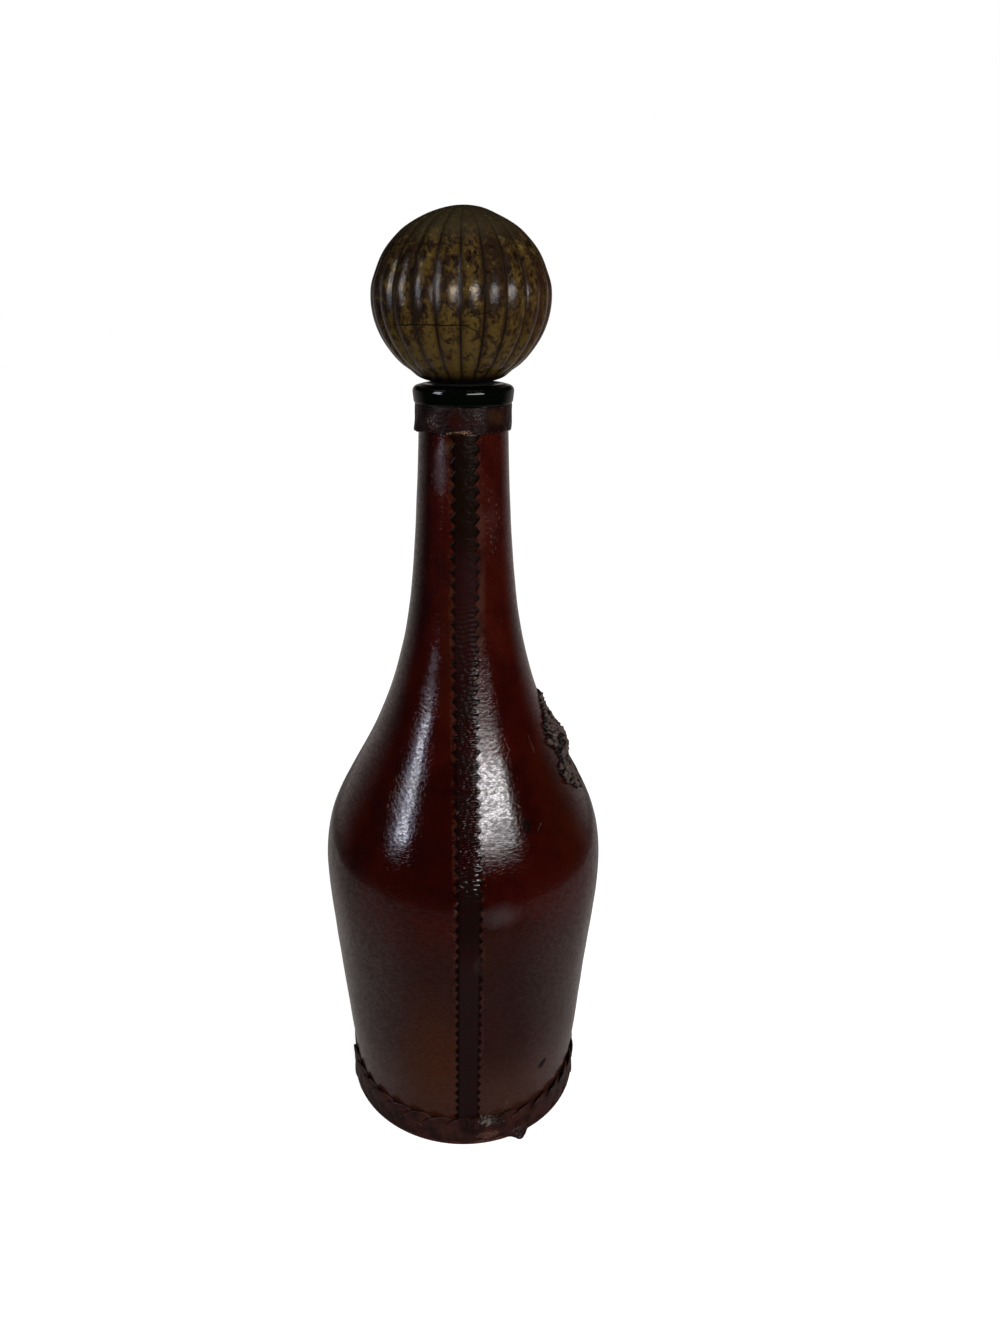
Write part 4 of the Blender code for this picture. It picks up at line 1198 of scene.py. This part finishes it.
def glue_mesh(sizes):
    """Return a thin, broken smear of old glue where the plait is joined."""
    along = np.linspace(-1, 1, 60)[:, None]
    across = np.linspace(-1, 1, 36)[None, :]
    flat = spread(along, across)
    reach = np.sqrt(along ** 2 + across ** 2) * 1.25 + gentle_waves(flat, 0.4, 41) * 0.40
    lift = 0.0004 * ease(reach, 0.8, 0.3) + gentle_waves(flat, 0.3, 42) * 0.00030 - 0.0003
    lift = np.where(reach > 0.8, -0.0012, lift)
    angle = np.radians(11.0 + 9.0 * along)
    height = 0.0102 + 0.0019 * across - 0.0012 * along
    return sheet_solid("glue_smear", on_plait(sizes, angle, height, lift),
                       on_plait(sizes, angle, height, -0.0016))


def ball_outline(sizes):
    """Return points down the ball's outline, across its foot and up the dowel hole."""
    middle = ball_top - sizes.ball_half_height
    foot_turn = math.asin((ball_foot - middle) / sizes.ball_half_height)
    points = []
    for turn in np.linspace(QUARTER, foot_turn, 150):
        leaner = 0.018 * ease(turn, 0.1, 0.35) + 0.015 * ease(turn, 0.5, 0.8) + 0.080 * ease(turn, 0.8, 1.25)
        fuller = 0.02 * ease(-turn, 0.6, 0.9) + 0.155 * ease(-turn, 0.95, 1.22)
        girth = sizes.ball_radius * math.cos(turn) * (1 - leaner + fuller)
        points.append((girth, 0, middle + sizes.ball_half_height * math.sin(turn)))
    hole = dowel_radius + CLEARANCE
    hole_top = dowel_top + CLEARANCE
    return points + [(hole, 0, ball_foot), (hole, 0, hole_top), (0, 0, hole_top)]


def cork_profile():
    """Return the outline of the tapered cork with its blind hole."""
    edge, taper = 0.0006, 0.0009
    hole = dowel_radius + CLEARANCE
    hole_bottom = dowel_bottom - CLEARANCE
    tip = cork_radius - taper
    points = [(0, hole_bottom), (hole, hole_bottom), (hole, cork_top)]
    points += arc((cork_radius - edge, cork_top - edge), edge, QUARTER, 0, 5)
    sides = np.linspace(0, 1, 40)[1:-1]
    points += [(cork_radius + (tip - cork_radius) * share, cork_top - edge
                + (cork_bottom - cork_top + 2 * edge) * share) for share in sides]
    points += arc((tip - edge, cork_bottom + edge), edge, 0, -QUARTER, 5)
    return points + [(0, cork_bottom)]


def roughen(mesh, size, depth, seed, low, high):
    """Push a mesh's outer points in by small pits between two heights."""
    points = np.empty(len(mesh.vertices) * 3)
    mesh.vertices.foreach_get("co", points)
    points = points.reshape(-1, 3)
    pits = np.clip(gentle_waves(points, size, seed) - 0.9, 0, 1) * depth
    girth = np.hypot(points[:, 0], points[:, 1])
    shell = (points[:, 2] > low) & (points[:, 2] < high) & (girth > dowel_radius * 2)
    shrink = 1 - np.where(shell, pits / np.maximum(girth, 0.001), 0)
    points[:, :2] *= shrink[:, None]
    mesh.vertices.foreach_set("co", points.ravel())


# The stage
LENS = 25.14
LENS_SHIFT = 0.0275
SENSOR_WIDTH = 36
CAMERA_SWING = math.radians(-2.2)
CAMERA_TILT = math.radians(21.56)
WORLD_LIGHT = 0.30
FLOOR_REACH = 4.0
FLOOR_GLOW = 0.80
ROOM_OUTLINE = (
    (0.0412, 0.0002), (0.24, 0.0002), (0.62, 0.004), (0.68, 0.05), (0.68, 0.70), (0.45, 0.95),
    (0.01, 1.05),
)
ROOM_TINT = (1.0, 0.91, 0.88, 1)
ROOM_GLOW = 0.008
TABLE_GLOW = 0.098
BACK_GLOW = 0.17
LAMPS = (
    # name, angle, distance, low, high, width, radiance, colour
    ("left_window_low", -57, 0.50, 0.240, 0.256, 0.090, 4.0, (0.84, 0.89, 1.0)),
    ("left_window", -57, 0.50, 0.256, 0.300, 0.090, 15.0, (0.84, 0.89, 1.0)),
    ("left_window_high", -57, 0.50, 0.300, 0.330, 0.090, 8.0, (0.84, 0.89, 1.0)),
    ("left_window_top", -64, 0.50, 0.330, 0.620, 0.160, 11.0, (0.92, 0.94, 1.0)),
    ("left_curtain", -58, 0.52, 0.256, 0.330, 0.190, 1.2, (0.50, 0.40, 1.0)),
    ("right_window_low", 26, 0.50, 0.250, 0.276, 0.200, 1.4, (1.0, 0.97, 0.99)),
    ("right_window_middle", 25, 0.50, 0.276, 0.322, 0.300, 3.7, (1.0, 0.97, 0.99)),
    ("right_window", 25.5, 0.50, 0.322, 0.415, 0.345, 18.9, (1.0, 0.97, 0.99)),
    ("right_window_top", 33, 0.50, 0.415, 0.600, 0.150, 2.5, (1.0, 0.98, 0.95)),
)


def make_camera(sizes):
    """Place the camera at the photographed angle."""
    camera = bpy.data.cameras.new("camera")
    camera.lens = LENS
    camera.sensor_width = SENSOR_WIDTH
    camera.shift_x = LENS_SHIFT
    camera.dof.use_dof = False
    camera.clip_start = 0.01
    item = new_object("camera", camera)
    item.location = around(sizes.camera_distance, CAMERA_SWING, sizes.camera_height)
    item.rotation_euler = (QUARTER - CAMERA_TILT, 0, CAMERA_SWING)
    bpy.context.scene.camera = item


def make_lamps():
    """Hang the tall soft lamps that the leather mirrors."""
    for name, degrees, distance, low, high, width, radiance, tint in LAMPS:
        light = bpy.data.lights.new(name, "AREA")
        light.shape = "RECTANGLE"
        light.size = width
        light.size_y = high - low
        light.energy = radiance * math.pi * width * (high - low)
        light.color = tint
        item = new_object(name, light)
        angle = math.radians(degrees)
        item.location = around(distance, angle, (low + high) / 2)
        item.rotation_euler = (QUARTER, 0, angle)
        item.visible_camera = False
        item.visible_diffuse = not name.endswith("_top")


def background_share(sheet):
    """Return 1 for camera, glossy and transmission rays, and 0 for the rest."""
    path = sheet.add("ShaderNodeLightPath", output="Is Camera Ray")
    total = path + path.output("Is Glossy Ray") + path.output("Is Transmission Ray")
    return sheet.math("MINIMUM", total, 1.0)


def make_world():
    """Light the scene evenly and show white behind it."""
    world = bpy.data.worlds.new("studio")
    bpy.context.scene.world = world
    world.use_nodes = True
    sheet = Sheet(world.node_tree)
    strength = WORLD_LIGHT + background_share(sheet) * (1 - WORLD_LIGHT)
    background = world.node_tree.nodes["Background"]
    background.inputs["Color"].default_value = (1, 1, 1, 1)
    world.node_tree.links.new(strength.socket, background.inputs["Strength"])


def plain_surface(name, nodes_for):
    """Return a stage material whose surface is the shader that nodes_for builds."""
    material = bpy.data.materials.new(name)
    material.use_nodes = True
    tree = material.node_tree
    tree.nodes.remove(tree.nodes["Principled BSDF"])
    surface = nodes_for(Sheet(tree))
    tree.links.new(surface.socket, tree.nodes["Material Output"].inputs["Surface"])
    return material


def make_floor(colours):
    """Lay a plain white floor that keeps the object's shadow."""
    def shader(sheet):
        diffuse = sheet.add("ShaderNodeBsdfDiffuse", None, {"Color": (*colours.floor, 1)})
        strength = background_share(sheet) * FLOOR_GLOW
        glow = sheet.add("ShaderNodeEmission", None, {"Strength": strength})
        return sheet.add("ShaderNodeAddShader", None, {0: diffuse, 1: glow})

    mesh = bpy.data.meshes.new("floor")
    corners = [(FLOOR_REACH * x, FLOOR_REACH * y, 0) for x, y in ((-1, -1), (1, -1), (1, 1), (-1, 1))]
    mesh.from_pydata(corners, [], [(0, 1, 2, 3)])
    mesh.materials.append(plain_surface("floor", shader))
    new_object("floor", mesh)


def make_dark_room():
    """Stand a dim room round the table. Only reflections show it."""
    def shader(sheet):
        place = sheet.add("ShaderNodeTexCoord", output="Object")
        x, y, height = sheet.split(place)
        radius = sheet.math("SQRT", x * x + y * y)
        aside = sheet.fade(abs(x) / radius, 0.5, 1.0)
        edge = sheet.fade(radius, 0.20, 0.28) * 0.35
        table = sheet.fade(radius, 0.290, 0.284) * (0.96 + edge + aside * 1.0) * TABLE_GLOW
        back = sheet.fade(y / radius, 0.05, 0.85) * sheet.fade(height, 0.50, 0.25) * BACK_GLOW
        back = back * (0.65 + sheet.fade(radius, 0.38, 0.52) * 1.15)
        inputs = {"Color": ROOM_TINT, "Strength": table + back + ROOM_GLOW}
        return sheet.add("ShaderNodeEmission", None, inputs)

    mesh = turned_solid("dark_room", ROOM_OUTLINE, steps=72)
    mesh.materials.append(plain_surface("dark_room", shader))
    room = new_object("dark_room", mesh)
    room.visible_camera = False
    room.visible_diffuse = False
    room.visible_transmission = False
    room.visible_shadow = False
    room.visible_volume_scatter = False


# Operators
class DECANTER_OT_stage(Operator):
    """Set up the camera, the lamps, the world and the floor."""

    bl_idname = "decanter.stage"
    bl_label = "Stage"

    def execute(self, context):
        sizes = context.scene.decanter_sizes
        colours = context.scene.decanter_colours
        context.scene.view_settings.view_transform = "Standard"
        make_camera(sizes)
        make_lamps()
        make_world()
        make_floor(colours)
        make_dark_room()
        return {"FINISHED"}


class DECANTER_OT_glass_bottle(Operator):
    """Turn the dark glass bottle with its thick lip."""

    bl_idname = "decanter.glass_bottle"
    bl_label = "Glass bottle"

    def execute(self, context):
        sizes = context.scene.decanter_sizes
        colours = context.scene.decanter_colours
        mesh = turned_solid("glass_bottle", bottle_profile(sizes), steps=96)
        glass = dark_glass(colours)
        add_piece("bottle", mesh, "decanter", glass, ["glass_bottle"])
        return {"FINISHED"}


class DECANTER_OT_leather_panels(Operator):
    """Wrap the two halves of the leather."""

    bl_idname = "decanter.leather_panels"
    bl_label = "Leather panels"

    def execute(self, context):
        sizes = context.scene.decanter_sizes
        colours = context.scene.decanter_colours
        for name, side, seed in (("left", -1, 0.0), ("right", 1, 0.31)):
            mesh = leather_panel_mesh(f"panel_{name}", side, sizes)
            leather = oxblood_leather(f"oxblood_leather_{name}", colours, seed)
            add_piece(f"panel_{name}", mesh, "decanter", leather, [f"leather_panel_{name}"])
        return {"FINISHED"}


class DECANTER_OT_seam_strips(Operator):
    """Lay the pinked strips over the front and back seams."""

    bl_idname = "decanter.seam_strips"
    bl_label = "Seam strips"

    def execute(self, context):
        sizes = context.scene.decanter_sizes
        colours = context.scene.decanter_colours
        heights = np.linspace(strip_top, strip_bottom - 0.002, 220)
        guide_points = on_leather(0.0, heights).tolist()
        reach = sum(math.dist(a, b) for a, b in zip(guide_points, guide_points[1:]))
        for name, facing, seed in (("front", 0.0, 0.0), ("back", math.pi, 0.17)):
            leather = seam_leather(f"seam_leather_{name}", colours, seed)
            maker = pinked_strip_tree(sizes, leather)
            guide = edge_line(f"strip_{name}", guide_points)
            changes = {"Length": reach, "Facing": facing}
            mesh = maker.make(guide, changes, sizes.strip_thickness)
            add_piece(f"strip_{name}", mesh, "decanter", None, [f"seam_strip_{name}"])
        return {"FINISHED"}


class DECANTER_OT_neck_collar(Operator):
    """Wrap the scuffed band round the neck's top."""

    bl_idname = "decanter.neck_collar"
    bl_label = "Neck collar"

    def execute(self, context):
        sizes = context.scene.decanter_sizes
        colours = context.scene.decanter_colours
        mesh = collar_mesh(sizes)
        leather = collar_leather(colours)
        add_piece("collar", mesh, "decanter", leather, ["neck_collar"])
        return {"FINISHED"}


class DECANTER_OT_base_braid(Operator):
    """Plait the laces round the foot, with their join, old glue and loose end."""

    bl_idname = "decanter.base_braid"
    bl_label = "Base braid"

    def execute(self, context):
        sizes = context.scene.decanter_sizes
        colours = context.scene.decanter_colours
        leather = plait_leather(colours)
        maker = plait_tree(sizes, leather)
        mesh = maker.make(edge_line("plait", [(0, 0, 0), (0, 0, 0.001)]))
        add_piece("plait", mesh, "decanter", None, ["base_braid"])
        add_piece("lace_loose_end", lace_end_mesh(sizes), "decanter", leather)
        add_piece("lace_join_wrap", lace_wrap_mesh(sizes), "decanter", leather)
        add_piece("glue_smear", glue_mesh(sizes), "decanter", old_glue())
        return {"FINISHED"}


class DECANTER_OT_base_disc(Operator):
    """Turn the leather disc that the decanter stands on."""

    bl_idname = "decanter.base_disc"
    bl_label = "Base disc"

    def execute(self, context):
        sizes = context.scene.decanter_sizes
        colours = context.scene.decanter_colours
        edge = disc_top / 2
        rim = sizes.foot_radius
        points = [(0, disc_top)] + arc((rim - edge, edge), edge, QUARTER, -QUARTER, 12) + [(0, 0)]
        mesh = turned_solid("underside", points, steps=120)
        suede = suede_leather(colours)
        add_piece("underside", mesh, "decanter", suede, ["base_disc"])
        return {"FINISHED"}


class DECANTER_OT_vine_ornament(Operator):
    """Mould the vine leaf and grapes on the shoulder."""

    bl_idname = "decanter.vine_ornament"
    bl_label = "Vine ornament"

    def execute(self, context):
        sizes = context.scene.decanter_sizes
        colours = context.scene.decanter_colours
        mesh = ornament_mesh(sizes)
        leather = moulded_leather(colours)
        add_piece("vine", mesh, "decanter", leather, ["vine_ornament"])
        return {"FINISHED"}


class DECANTER_OT_stopper_ball(Operator):
    """Shape the ribbed ball of the stopper."""

    bl_idname = "decanter.stopper_ball"
    bl_label = "Stopper ball"

    def execute(self, context):
        sizes = context.scene.decanter_sizes
        colours = context.scene.decanter_colours
        groove_angle = math.radians(-4.0)
        lacquer = gilt_lacquer(sizes, colours, groove_angle)
        maker = ribbed_ball_tree(sizes, lacquer, groove_angle)
        mesh = maker.make(edge_line("ball", ball_outline(sizes)))
        add_piece("ball", mesh, "stopper", None, ["stopper_ball"])
        return {"FINISHED"}


class DECANTER_OT_stopper_cork(Operator):
    """Turn the cork, and give the dowel its wood."""

    bl_idname = "decanter.stopper_cork"
    bl_label = "Cork and dowel"

    def execute(self, context):
        colours = context.scene.decanter_colours
        mesh = turned_solid("cork", cork_profile(), steps=96)
        roughen(mesh, size=0.0022, depth=0.00035, seed=51, low=cork_bottom + 0.0008, high=cork_top - 0.0008)
        add_piece("cork", mesh, "stopper", pressed_cork(colours), ["stopper_cork"])
        dowel = frame["nodes"]["stopper_dowel"]
        dowel.material_slots[0].material = beech_wood(colours)
        return {"FINISHED"}


OPERATORS = (
    DECANTER_OT_stage, DECANTER_OT_glass_bottle, DECANTER_OT_leather_panels, DECANTER_OT_seam_strips,
    DECANTER_OT_neck_collar, DECANTER_OT_base_braid, DECANTER_OT_base_disc, DECANTER_OT_vine_ornament,
    DECANTER_OT_stopper_ball, DECANTER_OT_stopper_cork,
)


class DECANTER_PT_panel(Panel):
    """Lists the decanter's pieces in the sidebar."""

    bl_idname = "DECANTER_PT_panel"
    bl_label = "Leather-wrapped decanter"
    bl_space_type = "VIEW_3D"
    bl_region_type = "UI"
    bl_category = "Decanter"

    def draw(self, context):
        for operator in OPERATORS:
            self.layout.operator(operator.bl_idname)
        for group in (context.scene.decanter_sizes, context.scene.decanter_colours):
            column = self.layout.column()
            for name in group.__annotations__:
                column.prop(group, name)


CLASSES = (DecanterSizes, DecanterColours, *OPERATORS, DECANTER_PT_panel)


def register():
    """Register the add-on's classes and its settings."""
    for item in CLASSES:
        bpy.utils.register_class(item)
    bpy.types.Scene.decanter_sizes = PointerProperty(type=DecanterSizes)
    bpy.types.Scene.decanter_colours = PointerProperty(type=DecanterColours)


def unregister():
    """Take the settings and the classes away again."""
    del bpy.types.Scene.decanter_colours
    del bpy.types.Scene.decanter_sizes
    for item in reversed(CLASSES):
        bpy.utils.unregister_class(item)


def main():
    """Build every piece in order."""
    register()
    bpy.ops.decanter.stage()
    bpy.ops.decanter.glass_bottle()
    bpy.ops.decanter.leather_panels()
    bpy.ops.decanter.seam_strips()
    bpy.ops.decanter.neck_collar()
    bpy.ops.decanter.base_braid()
    bpy.ops.decanter.base_disc()
    bpy.ops.decanter.vine_ornament()
    bpy.ops.decanter.stopper_ball()
    bpy.ops.decanter.stopper_cork()


if __name__ == "__main__":
    main()
